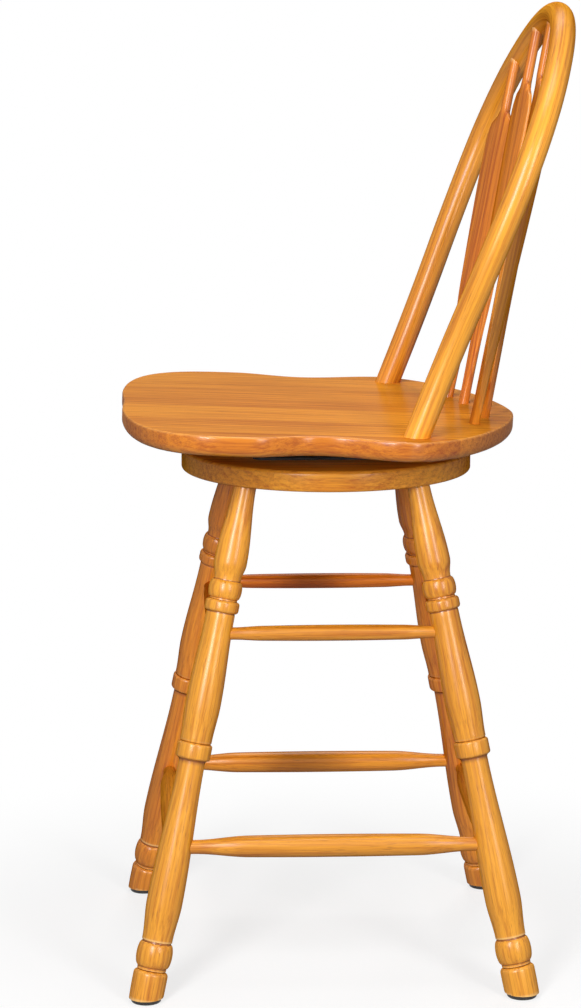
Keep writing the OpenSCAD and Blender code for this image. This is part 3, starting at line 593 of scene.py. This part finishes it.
class STOOL_OT_seat(Operator):
    """Models the seat board with its waist and rounded edges"""
    bl_idname = "stool.seat"
    bl_label = "Seat"

    def corner(self, half_w, half_l, squareness, angle):
        """A point on a rounded corner, seen from the corner's own middle."""
        c, s = abs(math.cos(angle)) / half_w, abs(math.sin(angle)) / half_l
        r = (c ** squareness + s ** squareness) ** (-1 / squareness)
        return r * math.cos(angle), r * math.sin(angle)

    def left_half(self, seat, corner_steps=36, side_steps=14):
        """The sitter's left half of the outline, from the middle of the front to the back."""
        points = []
        for i in range(corner_steps):
            angle = math.pi / 2 * (1 - i / corner_steps)
            x, y = self.corner(
                seat.front_lobe_x, seat.front - seat.front_lobe_y, seat.front_corner, angle)
            inside = abs(x) < seat.dip_reach
            dip = seat.dip * (1 + math.cos(math.pi * x / seat.dip_reach)) / 2 if inside else 0
            points.append((x, dip - seat.front_lobe_y - y))
        lobe, waist = (seat.front_lobe_x, -seat.front_lobe_y), (seat.waist_x, -seat.waist_y)
        for start, end in ((lobe, waist), (waist, (seat.rear_lobe_x, seat.rear_lobe_y))):
            for i in range(side_steps):
                t = i / side_steps
                points.append((ease(start[0], end[0], t), start[1] + (end[1] - start[1]) * t))
        for i in range(corner_steps + 1):
            x, y = self.corner(
                seat.rear_lobe_x, seat.back - seat.rear_lobe_y, seat.rear_corner,
                math.pi / 2 * i / corner_steps)
            points.append((x, seat.rear_lobe_y + y))
        return points

    def execute(self, context):
        seat = context.scene.stool_seat
        left = self.left_half(seat)
        outline = left + [(-x, y) for x, y in reversed(left[1:-1])]
        bm = bmesh.new()
        bmesh.ops.create_circle(bm, cap_ends=True, radius=1, segments=len(outline))
        bm.verts.ensure_lookup_table()
        for v, (x, y) in zip(bm.verts, outline):
            v.co = (x, y, 0)
        bmesh.ops.recalc_face_normals(bm, faces=bm.faces)
        walls = bmesh.ops.extrude_face_region(bm, geom=bm.faces[:])
        bmesh.ops.translate(bm, verts=verts_in(walls["geom"]), vec=(0, 0, -seat.thickness))
        rounds = ((0, seat.top_round, 4), (-seat.thickness, seat.under_round, 7))
        for level, radius, segments in rounds:
            bmesh.ops.bevel(
                bm, geom=edges_at(bm, level), offset=radius, offset_type="OFFSET",
                segments=segments, profile=0.5, affect="EDGES", material=-1, clamp_overlap=False)
        wall_corners = 8
        flats = [f for f in bm.faces if len(f.verts) > wall_corners]
        shading_border = 0.0006
        bmesh.ops.inset_individual(bm, faces=flats, thickness=shading_border)
        note_grain(bm, (0.31, 0.12, 0.4), swap=True)
        bmesh.ops.transform(bm, matrix=on_seat(seat), verts=bm.verts)
        material = oak(
            "seat_oak", tone=0.88, layer_width=0.011, layer_share=0.16, pore_share=0.42,
            board_width=0.085, coat=0.8, rim=0.12, wall_darkening=0.8, coat_roughness=0.2)
        finish_piece(bm, "seat_board", "seat_top", material, ["seat"])
        return {"FINISHED"}


def bow_frame(scene):
    """The bow's plane: x across, y up the bow, and the numbers of its arcs."""
    seat, bow = scene.stool_seat, scene.stool_bow
    bend_len = bow.wide_at - bow.straight
    bend_r = (bend_len ** 2 + bow.spread ** 2) / (4 * bow.spread)
    wide_x = bow.foot_x + bow.spread
    rise = bow.crown_at - bow.wide_at
    shoulder_x = wide_x - bow.shoulder_r
    crown_r = (shoulder_x ** 2 + rise ** 2 - bow.shoulder_r ** 2) / (2 * (rise - bow.shoulder_r))
    crown_mid = bow.crown_at - crown_r
    plane = Matrix.Translation(seat_point(seat, 0, bow.foot_y)) @ Matrix.Rotation(
        math.pi / 2 - bow.lean, 4, "X")
    return {
        "plane": plane, "bend_r": bend_r, "bend_angle": math.asin(bend_len / 2 / bend_r),
        "wide_x": wide_x, "shoulder_x": shoulder_x, "crown_r": crown_r, "crown_mid": crown_mid,
        "shoulder_angle": math.atan2(bow.wide_at - crown_mid, shoulder_x)}


class STOOL_OT_bow(Operator):
    """Bends the back bow from one rod, foot to foot"""
    bl_idname = "stool.bow"
    bl_label = "Back bow"

    def sweep(self, bm, end, centre, angle, steps, layer, travel):
        """Turns the open end of the rod about a centre in the bow's plane, a step at a time."""
        for _ in range(steps):
            turned_end = bmesh.ops.spin(
                bm, geom=end["verts"] + end["edges"], cent=centre, axis=(0, 0, 1),
                angle=angle / steps, steps=1)["geom_last"]
            radius = (end["middle"] - centre).length
            turn = Matrix.Rotation(angle / steps, 3, "Z")
            end["middle"] = centre + turn @ (end["middle"] - centre)
            end["out"] = turn @ end["out"]
            travel += abs(radius * angle / steps)
            end["verts"], end["edges"] = verts_in(turned_end), edges_in(turned_end)
            self.mark(end, layer, travel)
        return travel

    def mark(self, end, layer, travel):
        """Writes the place of the rod's open end in its straight blank: across, through, along."""
        blank_x, blank_y = 0.9, 0.2
        for v in end["verts"]:
            arm = v.co - end["middle"]
            v[layer] = Vector((arm.dot(end["out"]) + blank_x, arm.z + blank_y, travel))

    def extend(self, bm, end, length, direction, layer, travel, steps=6):
        """Lengthens the open end of the rod in a straight line."""
        for _ in range(steps):
            end["verts"], end["edges"] = grow(bm, end["edges"])
            step = direction * (length / steps)
            bmesh.ops.translate(bm, verts=end["verts"], vec=step)
            end["middle"] = end["middle"] + step
            travel += length / steps
            self.mark(end, layer, travel)
        return travel

    def execute(self, context):
        bow = context.scene.stool_bow
        arcs = bow_frame(context.scene)
        bm = bmesh.new()
        layer = bm.verts.layers.float_vector.new("grain")
        start = Vector((bow.foot_x, -bow.socket, 0))
        lie = Matrix.Translation(start) @ Matrix.Rotation(math.pi / 2, 4, "X")
        made = bmesh.ops.create_circle(
            bm, cap_ends=True, radius=bow.diameter / 2, segments=40, matrix=lie)
        end = {"verts": made["verts"], "edges": bm.edges[:], "middle": start.copy(),
               "out": Vector((1, 0, 0))}
        self.mark(end, layer, 0)
        up, down = Vector((0, 1, 0)), Vector((0, -1, 0))
        travel = self.extend(bm, end, bow.socket + bow.straight, up, layer, 0)
        bend, side = arcs["bend_angle"], arcs["shoulder_angle"]
        hollow = Vector((bow.foot_x + arcs["bend_r"], bow.straight, 0))
        full = Vector((arcs["wide_x"] - arcs["bend_r"], bow.wide_at, 0))
        shoulder = Vector((arcs["shoulder_x"], bow.wide_at, 0))
        crown = Vector((0, arcs["crown_mid"], 0))
        mirror = Matrix.Scale(-1, 3, (1, 0, 0))
        runs = [(hollow, -bend, 16), (full, bend, 16), (shoulder, side, 26),
                (crown, math.pi - 2 * side, 40), (mirror @ shoulder, side, 26),
                (mirror @ full, bend, 16), (mirror @ hollow, -bend, 16)]
        for centre, angle, steps in runs:
            travel = self.sweep(bm, end, centre, angle, steps, layer, travel)
        self.extend(bm, end, bow.socket + bow.straight, down, layer, travel)
        bmesh.ops.contextual_create(bm, geom=end["edges"])
        bmesh.ops.transform(bm, matrix=arcs["plane"], verts=bm.verts)
        material = oak("bow_oak", tone=1.0, layer_width=0.0045, layer_share=0.18, pore_share=0.45)
        finish_piece(bm, "bent_bow", "seat_top", material, ["back_bow"])
        return {"FINISHED"}


class STOOL_OT_spindles(Operator):
    """Carves the arrow spindles, each from a round foot to a flat blade and a round stem"""
    bl_idname = "stool.spindles"
    bl_label = "Arrow spindles"

    def ends(self, scene, k):
        """A spindle's foot on the seat and its top inside the bow."""
        seat, spindles, arcs = scene.stool_seat, scene.stool_spindles, bow_frame(scene)
        x = k * spindles.foot_pitch
        y = spindles.row_y - spindles.row_r + math.sqrt(spindles.row_r ** 2 - x * x)
        top_x = k * spindles.top_pitch
        top_y = arcs["crown_mid"] + math.sqrt(arcs["crown_r"] ** 2 - top_x ** 2)
        top = arcs["plane"] @ Vector((top_x, top_y, 0)) - Vector((0, spindles.top_fore, 0))
        return seat_point(seat, x, y), top

    def keys(self, spindles, length, bow_r):
        """Places along a spindle and its half width there."""
        end_r, low, full = spindles.end_d / 2, spindles.blade_low_w / 2, spindles.blade_w / 2
        neck = length - spindles.stem
        clear_of_seat, taper_at, level_top = 0.002, 0.050, 0.008
        return [(-spindles.socket, end_r), (clear_of_seat, end_r),
                (taper_at, end_r + (low - end_r) * 0.28), (spindles.low_at, low),
                (neck - spindles.shoulder - level_top, full),
                (neck - spindles.shoulder * 0.55, full * 0.8), (neck, end_r),
                (length - bow_r * 0.5, end_r)]

    def half_width(self, keys, s):
        """The half width at a place, on a smooth curve through the keys that never overshoots."""
        slopes = [0.0]
        for before, here, after in zip(keys, keys[1:], keys[2:]):
            rise = (here[1] - before[1]) / (here[0] - before[0])
            fall = (after[1] - here[1]) / (after[0] - here[0])
            slopes.append(2 * rise * fall / (rise + fall) if rise * fall > 0 else 0.0)
        slopes.append(0.0)
        rounding = 1e-9
        i = max(j for j in range(len(keys) - 1) if keys[j][0] <= s + rounding)
        step = keys[i + 1][0] - keys[i][0]
        t = (s - keys[i][0]) / step
        h1 = 2 * t ** 3 - 3 * t ** 2 + 1
        h2, h4 = t ** 3 - 2 * t ** 2 + t, t ** 3 - t ** 2
        return (h1 * keys[i][1] + h2 * step * slopes[i] + (1 - h1) * keys[i + 1][1]
                + h4 * step * slopes[i + 1])

    def quarter(self, spindles, half_w, half_t):
        """A quarter of the flat blade's section: a thin edge, its arris and the crowned face."""
        edge, arris = spindles.blade_edge / 2, spindles.blade_edge / 5
        face_w = half_w - arris
        points = [(half_w, 0), (half_w, edge - arris)]
        points += [(face_w + arris * math.cos(a), edge - arris + arris * math.sin(a))
                   for a in (math.pi / 4, math.pi / 2)]
        return points + [(face_w * u, edge + (half_t - edge) * (1 - u * u))
                         for u in (0.86, 0.68, 0.46, 0.23)]

    def place_ring(self, verts, spindles, half_w, s):
        """Shapes one ring: a circle where it is round, and a crowned blade where it is flat."""
        end_r = spindles.end_d / 2
        flat = min(1, (half_w - end_r) / (spindles.blade_low_w / 2 - end_r))
        half_t = end_r + (spindles.blade_thk / 2 - end_r) * flat
        sharp = min(1, flat * 1.6)
        corners = self.quarter(spindles, half_w, half_t)
        count = len(corners)
        for i, v in enumerate(verts):
            quarter, step = divmod(i, count)
            angle = math.pi / 2 * (quarter + step / count)
            if quarter in (0, 2):
                x, y = corners[step]
            else:
                x, y = corners[count - step] if step else (0, half_t)
            x_side = 1 if quarter in (0, 3) else -1
            y_side = 1 if quarter in (0, 1) else -1
            v.co = (x_side * x * sharp + half_w * math.cos(angle) * (1 - sharp),
                    y_side * y * sharp + half_t * math.sin(angle) * (1 - sharp), s)

    def carve(self, scene, k, name, material, back):
        """Carves spindle k. Back is how far its foot stands behind the even row."""
        spindles = scene.stool_spindles
        ring_step, top_share = 0.006, 0.35
        foot, top = self.ends(scene, k)
        foot.y += back
        top.y += back * top_share
        keys = self.keys(spindles, (top - foot).length, scene.stool_bow.diameter / 2)
        bm = bmesh.new()
        made = bmesh.ops.create_circle(bm, cap_ends=True, radius=1, segments=32)
        verts, edges = made["verts"], bm.edges[:]
        self.place_ring(verts, spindles, keys[0][1], keys[0][0])
        for (low, _), (high, _) in zip(keys, keys[1:]):
            steps = max(2, round((high - low) / ring_step))
            for i in range(1, steps + 1):
                s = low + (high - low) * i / steps
                fresh, edges = grow(bm, edges)
                fresh = set(fresh)
                verts = [next(e.other_vert(v) for e in v.link_edges if e.other_vert(v) in fresh)
                         for v in verts]
                self.place_ring(verts, spindles, self.half_width(keys, s), s)
        bmesh.ops.contextual_create(bm, geom=edges)
        note_grain(bm, (0.13 * k + 0.5, 0.07 * k, 0.31 * k))
        turn = Matrix.Rotation(-k * spindles.turn, 4, "Z")
        bmesh.ops.transform(bm, matrix=along(foot, top) @ turn, verts=bm.verts)
        piece_name = name.replace("spindle", "arrow_spindle")
        finish_piece(bm, piece_name, "seat_top", material, [name])

    def execute(self, context):
        # Each spindle's name, tone and distance behind the even row
        # The tones are painted shade: darker than the bow, and darker and redder towards the sitter's
        # right, away from the lamps.
        row = {-2: ("right_outer", 0.75, -0.004), -1: ("right_inner", 0.72, -0.005),
               0: ("middle", 0.74, 0.001), 1: ("left_inner", 0.80, 0.008),
               2: ("left_outer", 0.87, 0.006)}
        reach = context.scene.stool_spindles.each_side
        for k in range(-reach, reach + 1):
            place, tone, back = row[k]
            material = oak("spindle_oak_" + place, tone, layer_width=0.008, layer_share=0.30,
                           pore_share=0.5, coat=0.9)
            self.carve(context.scene, k, "spindle_" + place, material, back)
        return {"FINISHED"}


def disc_heights():
    """The base disc's underside and top, from the frame."""
    low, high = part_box("base_disc")
    return low.z, high.z


def leg_ends(base, x, y):
    """A leg's middle at the floor and at the disc's underside."""
    foot = Vector((x * base.leg_foot_x, y * base.leg_foot_y, 0))
    return foot, Vector((x * base.leg_top_x, y * base.leg_top_y, disc_heights()[0]))


def leg_at(base, x, y, z):
    foot, top = leg_ends(base, x, y)
    return foot + (top - foot) * (z / top.z)


class STOOL_OT_disc(Operator):
    """Turns the base disc and bores its access hole"""
    bl_idname = "stool.disc"
    bl_label = "Base disc"

    def rim_outline(self, r, low, high, base, inset):
        """The disc's edge, from the flat of its underside round to the flat of its top."""
        under, over = base.disc_under_round, base.disc_top_round
        return (
            [(r - inset, low)]
            + [(r - under * (1 - math.sin(a)), low + under * (1 - math.cos(a)))
               for a in quarter_turn(6)]
            + [(r - over * (1 - math.cos(a)), high - over * (1 - math.sin(a)))
               for a in quarter_turn(6)]
            + [(r - inset, high)])

    def execute(self, context):
        base = context.scene.stool_base
        low, high = disc_heights()
        rim_w = 0.006
        bm = turned(self.rim_outline(base.disc_d / 2, low, high, base, rim_w), sides=128)
        hole = Matrix.Translation((0, -base.access_y, low))
        bmesh.ops.create_circle(bm, radius=base.access_d / 2, segments=32, matrix=hole)
        upper, _ = grow(bm, [e for e in bm.edges if e.is_wire])
        bmesh.ops.translate(bm, verts=upper, vec=(0, 0, high - low))
        for level in (low, high):
            loops = [e for e in edges_at(bm, level) if e.is_boundary]
            bmesh.ops.triangle_fill(bm, use_beauty=True, use_dissolve=False, edges=loops)
        note_grain(bm, (0.8, 0.3, 0.1), swap=True)
        material = oak("disc_oak", tone=0.98, layer_width=0.010, layer_share=0.18,
                       pore_share=0.45, board_width=0.105, coat=0.7)
        finish_piece(bm, "turned_disc", "base", material, ["base_disc"])
        return {"FINISHED"}


class STOOL_OT_legs(Operator):
    """Turns the four legs and cuts their feet level over the glides"""
    bl_idname = "stool.legs"
    bl_label = "Legs"

    def outline(self, leg, top_z):
        """The turned outline, as (radius, height over the floor)."""
        step, flare, proud = 0.002, 0.001, 0.0004
        foot_round, mid_round, top_round = 0.0045, 0.0028, 0.0034
        foot_r, foot_neck_r = leg.foot_d / 2, leg.foot_neck_d / 2 - proud
        mid_r, top_r = leg.mid_ring_d / 2, leg.top_ring_d / 2
        mid_high = leg.mid_ring_low + leg.mid_ring_w
        ring_high = leg.top_ring_low + leg.top_ring_w
        bead_high = ring_high + leg.top_bead_w + step
        calf, knee = (leg.calf_d / 2, leg.calf_at), (leg.knee_d / 2, leg.knee_at)
        hip = (leg.hip_d / 2, leg.hip_at)
        foot_ring = ring(foot_r, leg.foot_top * 0.4, leg.foot_top + flare, foot_round)
        return (
            [(0, -foot_r)]
            + swell((foot_r - flare, -foot_r), (foot_r, leg.foot_top * 0.6), 8)
            + foot_ring[6:]
            + [(foot_neck_r, leg.foot_top + step)]
            + bead(foot_neck_r, leg.foot_bead_d / 2, leg.foot_bead_low, leg.foot_bead_high)
            + [(leg.ankle_d / 2, leg.foot_bead_high + step)]
            + swell((leg.ankle_d / 2 + flare, leg.foot_bead_high + step), calf, 14)
            + swell(calf, (leg.shin_d / 2, leg.mid_ring_low - step), 26)[1:]
            + ring(mid_r, leg.mid_ring_low, mid_high, mid_round)
            + [(mid_r - 1.3 * leg.groove, mid_high + step / 2)]
            + swell((mid_r - leg.groove, mid_high + step), knee, 12)
            + swell(knee, (leg.thigh_d / 2, leg.top_ring_low - step), 20)[1:]
            + ring(top_r + proud, leg.top_ring_low, ring_high, top_round)
            + [(top_r - 1.8 * leg.groove, ring_high + step / 2)]
            + bead(top_r - 1.9 * leg.groove, top_r, ring_high + step, bead_high)
            + [(top_r - 2.1 * leg.groove, bead_high + step / 2)]
            + swell((top_r - 2.0 * leg.groove, bead_high + step), hip, 14)
            + swell(hip, (leg.neck_d / 2, top_z), 24)[1:])

    def turn_leg(self, base, leg, x, y, node, material):
        """Turns one leg, leans it into its place and cuts it level over its glide."""
        foot, top = leg_ends(base, x, y)
        length = (top - foot).length
        stretch = length / top.z
        outline = [(r, z * stretch) for r, z in self.outline(leg, top.z)]
        socket = length + base.leg_socket
        bm = turned(outline + [(leg.neck_d / 2, socket), (0, socket)])
        note_grain(bm, (0.21 * x + 0.5, 0.17 * y, 0.33 * (x + 2 * y)))
        bmesh.ops.transform(bm, matrix=along(foot, top), verts=bm.verts)
        cut = bmesh.ops.bisect_plane(
            bm, geom=bm.verts[:] + bm.edges[:] + bm.faces[:], plane_co=(0, 0, base.glide_h),
            plane_no=(0, 0, 1), clear_inner=True)["geom_cut"]
        bmesh.ops.contextual_create(bm, geom=edges_in(cut))
        finish_piece(bm, "turned_" + node, "base", material, [node])

    def execute(self, context):
        base, leg = context.scene.stool_base, context.scene.stool_leg
        # The right legs, away from the key and fill lamps, get a darker, redder oak: painted shade.
        for x, side, tone in ((1, "left", 1.0), (-1, "right", 0.78)):
            material = oak("leg_oak_" + side, tone, layer_width=0.0065, layer_share=0.20,
                           pore_share=0.5)
            for y, end in ((-1, "front"), (1, "back")):
                self.turn_leg(base, leg, x, y, "leg_" + end + "_" + side, material)
        return {"FINISHED"}


class STOOL_OT_rungs(Operator):
    """Turns the eight stretchers with their thin ends and long flares"""
    bl_idname = "stool.rungs"
    bl_label = "Stretchers"

    def outline(self, rungs, length, full_d, end_d, even, leg_r):
        """The turned outline: a thin end in the leg, a long soft flare and a full middle."""
        clear_of_leg, flare_gap, chamfer, crowning = 0.002, 0.004, 0.0005, 0.0006
        end_r, full_r = end_d / 2, full_d / 2
        start, thin, full = end_r + rungs.wall, leg_r + clear_of_leg, (length - even) / 2 + flare_gap
        half = ([(0, start), (end_r - chamfer, start), (end_r, start + chamfer), (end_r, thin)]
                + swell((end_r, thin), (full_r - crowning, full), 18)[1:]
                + [(full_r - crowning * (1 - i / 8) ** 2, full + (length / 2 - full) * i / 8)
                   for i in range(1, 8)])
        return half + [(full_r, length / 2)] + [(r, length - z) for r, z in reversed(half)]

    def execute(self, context):
        scene = context.scene
        base, rungs, leg = scene.stool_base, scene.stool_rungs, scene.stool_leg
        # One oak in a lit copy, pale, and two painted shade copies, darker and redder with less coat:
        # warm and deep.
        lit_and_shaded_oaks = {
            name: oak("rung_oak_" + name, tone, layer_width=0.0055, layer_share=0.2,
                      pore_share=0.5, coat=coat)
            for name, tone, coat in (("pale", 1.0, 1.0), ("warm", 0.84, 0.8), ("deep", 0.60, 0.6))}
        over_calf = 0.001
        low = (rungs.low_d, rungs.low_end_d, rungs.low_even, leg.calf_d / 2 - over_calf)
        high = (rungs.high_d, rungs.high_end_d, rungs.high_even, leg.thigh_d / 2)
        # Each side's two legs, as the signs of x and y, and its lower and upper height
        sides = {
            "front": ((-1, -1), (1, -1), base.low_end_z, base.high_end_z),
            "back": ((-1, 1), (1, 1), base.low_end_z, base.high_end_z),
            "left": ((1, -1), (1, 1), base.low_side_z, base.high_side_z),
            "right": ((-1, -1), (-1, 1), base.low_side_z, base.high_side_z)}
        rows = ((low, "lower", "warm"), (high, "upper", "deep"))
        for i, (sizes, row, blank) in enumerate(rows):
            for j, (side, (start, end, *heights)) in enumerate(sides.items()):
                number = i * len(sides) + j
                p, q = leg_at(base, *start, heights[i]), leg_at(base, *end, heights[i])
                bm = turned(self.outline(rungs, (q - p).length, *sizes), sides=56)
                note_grain(bm, (0.19 * number, 0.11 * number + 0.4, 0.23 * number))
                bmesh.ops.transform(bm, matrix=along(p, q), verts=bm.verts)
                node = "stretcher_" + side + "_" + row
                # The left rungs, which face the key and fill lamps, get the pale oak; the others get
                # their row's painted shade copy.
                material = lit_and_shaded_oaks["pale" if side == "left" else blank]
                finish_piece(bm, "turned_" + node, "base", material, [node])
        return {"FINISHED"}


class STOOL_OT_glides(Operator):
    """Turns the floor glides with their soft lower edge and nail recess"""
    bl_idname = "stool.glides"
    bl_label = "Floor glides"

    def execute(self, context):
        base = context.scene.stool_base
        r, h = base.glide_d / 2, base.glide_h
        nail_r, recess_r, recess, soft, bevel = 0.0015, 0.0055, 0.0027, 0.002, 0.0006
        sole = [(nail_r, recess), (recess_r, recess), (0.0058, bevel), (0.0064, 0.0)]
        edge = [(r - soft + soft * math.sin(a), soft - soft * math.cos(a))
                for a in quarter_turn(6)]
        lip = [(r, h - bevel), (r - bevel, h), (nail_r, h), (nail_r, recess)]
        material = moulded_plastic("glide_plastic", context.scene.stool_finish.glide)
        for node in ("glide_front_left", "glide_front_right", "glide_back_left",
                     "glide_back_right"):
            low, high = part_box(node)
            middle = (low + high) / 2
            bm = turned(sole + edge + lip, sides=48)
            bmesh.ops.translate(bm, verts=bm.verts, vec=(middle.x, middle.y, 0))
            finish_piece(bm, "moulded_" + node, "base", material, [node])
        return {"FINISHED"}


class STOOL_OT_swivel(Operator):
    """Finishes the metal of the swivel, its screws and the glides' nails"""
    bl_idname = "stool.swivel"
    bl_label = "Swivel"

    def execute(self, context):
        finish = context.scene.stool_finish
        black = metal("plated_steel", finish.steel, 0.30, 0.34)
        bright = metal("ball_steel", (0.70, 0.70, 0.71), 0.08, 0.12)
        brass = metal("cage_brass", finish.brass, 0.25, 0.30)
        dressed = {
            "lower_swivel_plate": black, "upper_swivel_plate": black, "swivel_pin": black,
            "upper_plate_screws": black, "lower_plate_screws": black, "glide_nails": black,
            "swivel_balls": bright, "ball_cage": brass}
        for node, material in dressed.items():
            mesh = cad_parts[node].data
            mesh.materials.clear()
            mesh.materials.append(material)
        return {"FINISHED"}


class STOOL_OT_stage(Operator):
    """Lays the floor and sets the lamps, the surround and the camera"""
    bl_idname = "stool.stage"
    bl_label = "Stage"

    def floor(self):
        """A pale grey floor that fades into the white around the stool and keeps its shadow."""
        grey, glow_level, fade_from, fade_to = 0.28, 0.73, 0.27, 0.75
        bm = bmesh.new()
        bmesh.ops.create_grid(bm, x_segments=1, y_segments=1, size=12)
        mesh = bpy.data.meshes.new("floor")
        bm.to_mesh(mesh)
        bm.free()
        material, tree, shader = new_material("studio_floor")
        tree.nodes.remove(shader)
        shown = seen_directly(tree)
        place = tree.nodes.new("ShaderNodeTexCoord").outputs["Object"]
        away = add(tree, "ShaderNodeVectorMath", {0: place}, operation="LENGTH").outputs["Value"]
        matt = add(tree, "ShaderNodeBsdfDiffuse", {"Color": (grey, grey, grey, 1)})
        glow = add(tree, "ShaderNodeEmission", {"Strength": times(tree, shown, glow_level)})
        both = add(tree, "ShaderNodeAddShader", {0: matt.outputs[0], 1: glow.outputs[0]})
        white = add(tree, "ShaderNodeEmission", {"Strength": shown})
        faded = add(tree, "ShaderNodeMixShader", {
            0: spread(tree, away, fade_from, fade_to), 1: both.outputs[0], 2: white.outputs[0]})
        tree.links.new(faded.outputs[0], tree.nodes["Material Output"].inputs["Surface"])
        mesh.materials.append(material)
        into_scene("floor", mesh)

    def surround(self, strength):
        """White where it is seen or mirrored, and a weak even light everywhere else."""
        world = bpy.data.worlds.new("studio_surround")
        bpy.context.scene.world = world
        world.use_nodes = True
        tree = world.node_tree
        background = tree.nodes["Background"]
        background.inputs["Color"].default_value = (1, 1, 1, 1)
        level = spread(tree, seen_directly(tree), 0.0, 1.0, strength, 1.0)
        tree.links.new(level, background.inputs["Strength"])

    def lamp(self, name, place, aim, size, power):
        light = bpy.data.lights.new(name, "AREA")
        light.shape = "RECTANGLE"
        light.size, light.size_y = size
        light.energy = power
        lamp = into_scene(name, light)
        lamp.visible_camera = False
        direction = Vector(aim) - Vector(place)
        lamp.matrix_world = (Matrix.Translation(place)
                             @ direction.to_track_quat("-Z", "Y").to_matrix().to_4x4())

    def camera(self, stage):
        cos_t, sin_t = math.cos(stage.turn), math.sin(stage.turn)
        cos_p, sin_p = math.cos(stage.pitch), math.sin(stage.pitch)
        forward = Vector((-cos_t * cos_p, sin_t * cos_p, -sin_p))
        level = Vector((sin_t, cos_t, 0))
        upright = level.cross(forward)
        right = math.cos(stage.roll) * level + math.sin(stage.roll) * upright
        up = math.cos(stage.roll) * upright - math.sin(stage.roll) * level
        facing = Matrix((right, up, -forward)).transposed().to_4x4()
        lens = bpy.data.cameras.new("camera")
        lens.sensor_fit = "VERTICAL"
        lens.sensor_height = 36
        lens.lens = stage.lens
        lens.clip_end = 60
        camera = into_scene("camera", lens)
        camera.matrix_world = Matrix.Translation(stage.eye) @ facing
        bpy.context.scene.camera = camera

    def execute(self, context):
        stage = context.scene.stool_stage
        context.scene.view_settings.view_transform = "Standard"
        self.floor()
        self.surround(stage.surround)
        strip, square, middle = (0.48, 1.5), (0.8, 0.8), (0, 0, 0.52)
        self.lamp("key", (2.13, -0.87, 1.45), middle, strip, stage.key)
        self.lamp("fill", (2.10, 1.04, 1.27), middle, strip, stage.fill)
        self.lamp("top", (0.3, 0.15, 2.2), (0, -0.1, 0.6), square, stage.top)
        self.lamp("back", (-1.6, 0.2, 2.1), (0, 0, 0.5), square, stage.back)
        self.camera(stage)
        return {"FINISHED"}


class STOOL_PT_panel(Panel):
    """Lists the pieces and their sizes"""
    bl_idname = "STOOL_PT_panel"
    bl_label = "Swivel bar stool"
    bl_space_type = "VIEW_3D"
    bl_region_type = "UI"
    bl_category = "Stool"

    def draw(self, context):
        for operator in OPERATORS:
            self.layout.operator(operator.bl_idname)
        for key in PROPERTIES:
            box = self.layout.box()
            group = getattr(context.scene, key)
            for name in group.bl_rna.properties.keys():
                if name not in ("rna_type", "name"):
                    box.prop(group, name)


OPERATORS = (STOOL_OT_stage, STOOL_OT_seat, STOOL_OT_bow, STOOL_OT_spindles, STOOL_OT_disc,
             STOOL_OT_legs, STOOL_OT_rungs, STOOL_OT_glides, STOOL_OT_swivel)
PROPERTIES = {
    "stool_seat": StoolSeatSizes, "stool_bow": StoolBowSizes, "stool_spindles": StoolSpindleSizes,
    "stool_base": StoolBaseSizes, "stool_leg": StoolLegSizes, "stool_rungs": StoolRungSizes,
    "stool_finish": StoolFinish, "stool_stage": StoolStage}


def register():
    for group in PROPERTIES.values():
        bpy.utils.register_class(group)
    for key, group in PROPERTIES.items():
        setattr(bpy.types.Scene, key, PointerProperty(type=group))
    for operator in OPERATORS:
        bpy.utils.register_class(operator)
    bpy.utils.register_class(STOOL_PT_panel)


def unregister():
    bpy.utils.unregister_class(STOOL_PT_panel)
    for operator in reversed(OPERATORS):
        bpy.utils.unregister_class(operator)
    for key, group in PROPERTIES.items():
        delattr(bpy.types.Scene, key)
        bpy.utils.unregister_class(group)


def main():
    register()
    oak_group()
    metal_group()
    bpy.ops.stool.stage()
    bpy.ops.stool.seat()
    bpy.ops.stool.bow()
    bpy.ops.stool.spindles()
    bpy.ops.stool.disc()
    bpy.ops.stool.legs()
    bpy.ops.stool.rungs()
    bpy.ops.stool.glides()
    bpy.ops.stool.swivel()


if __name__ == "__main__":
    main()
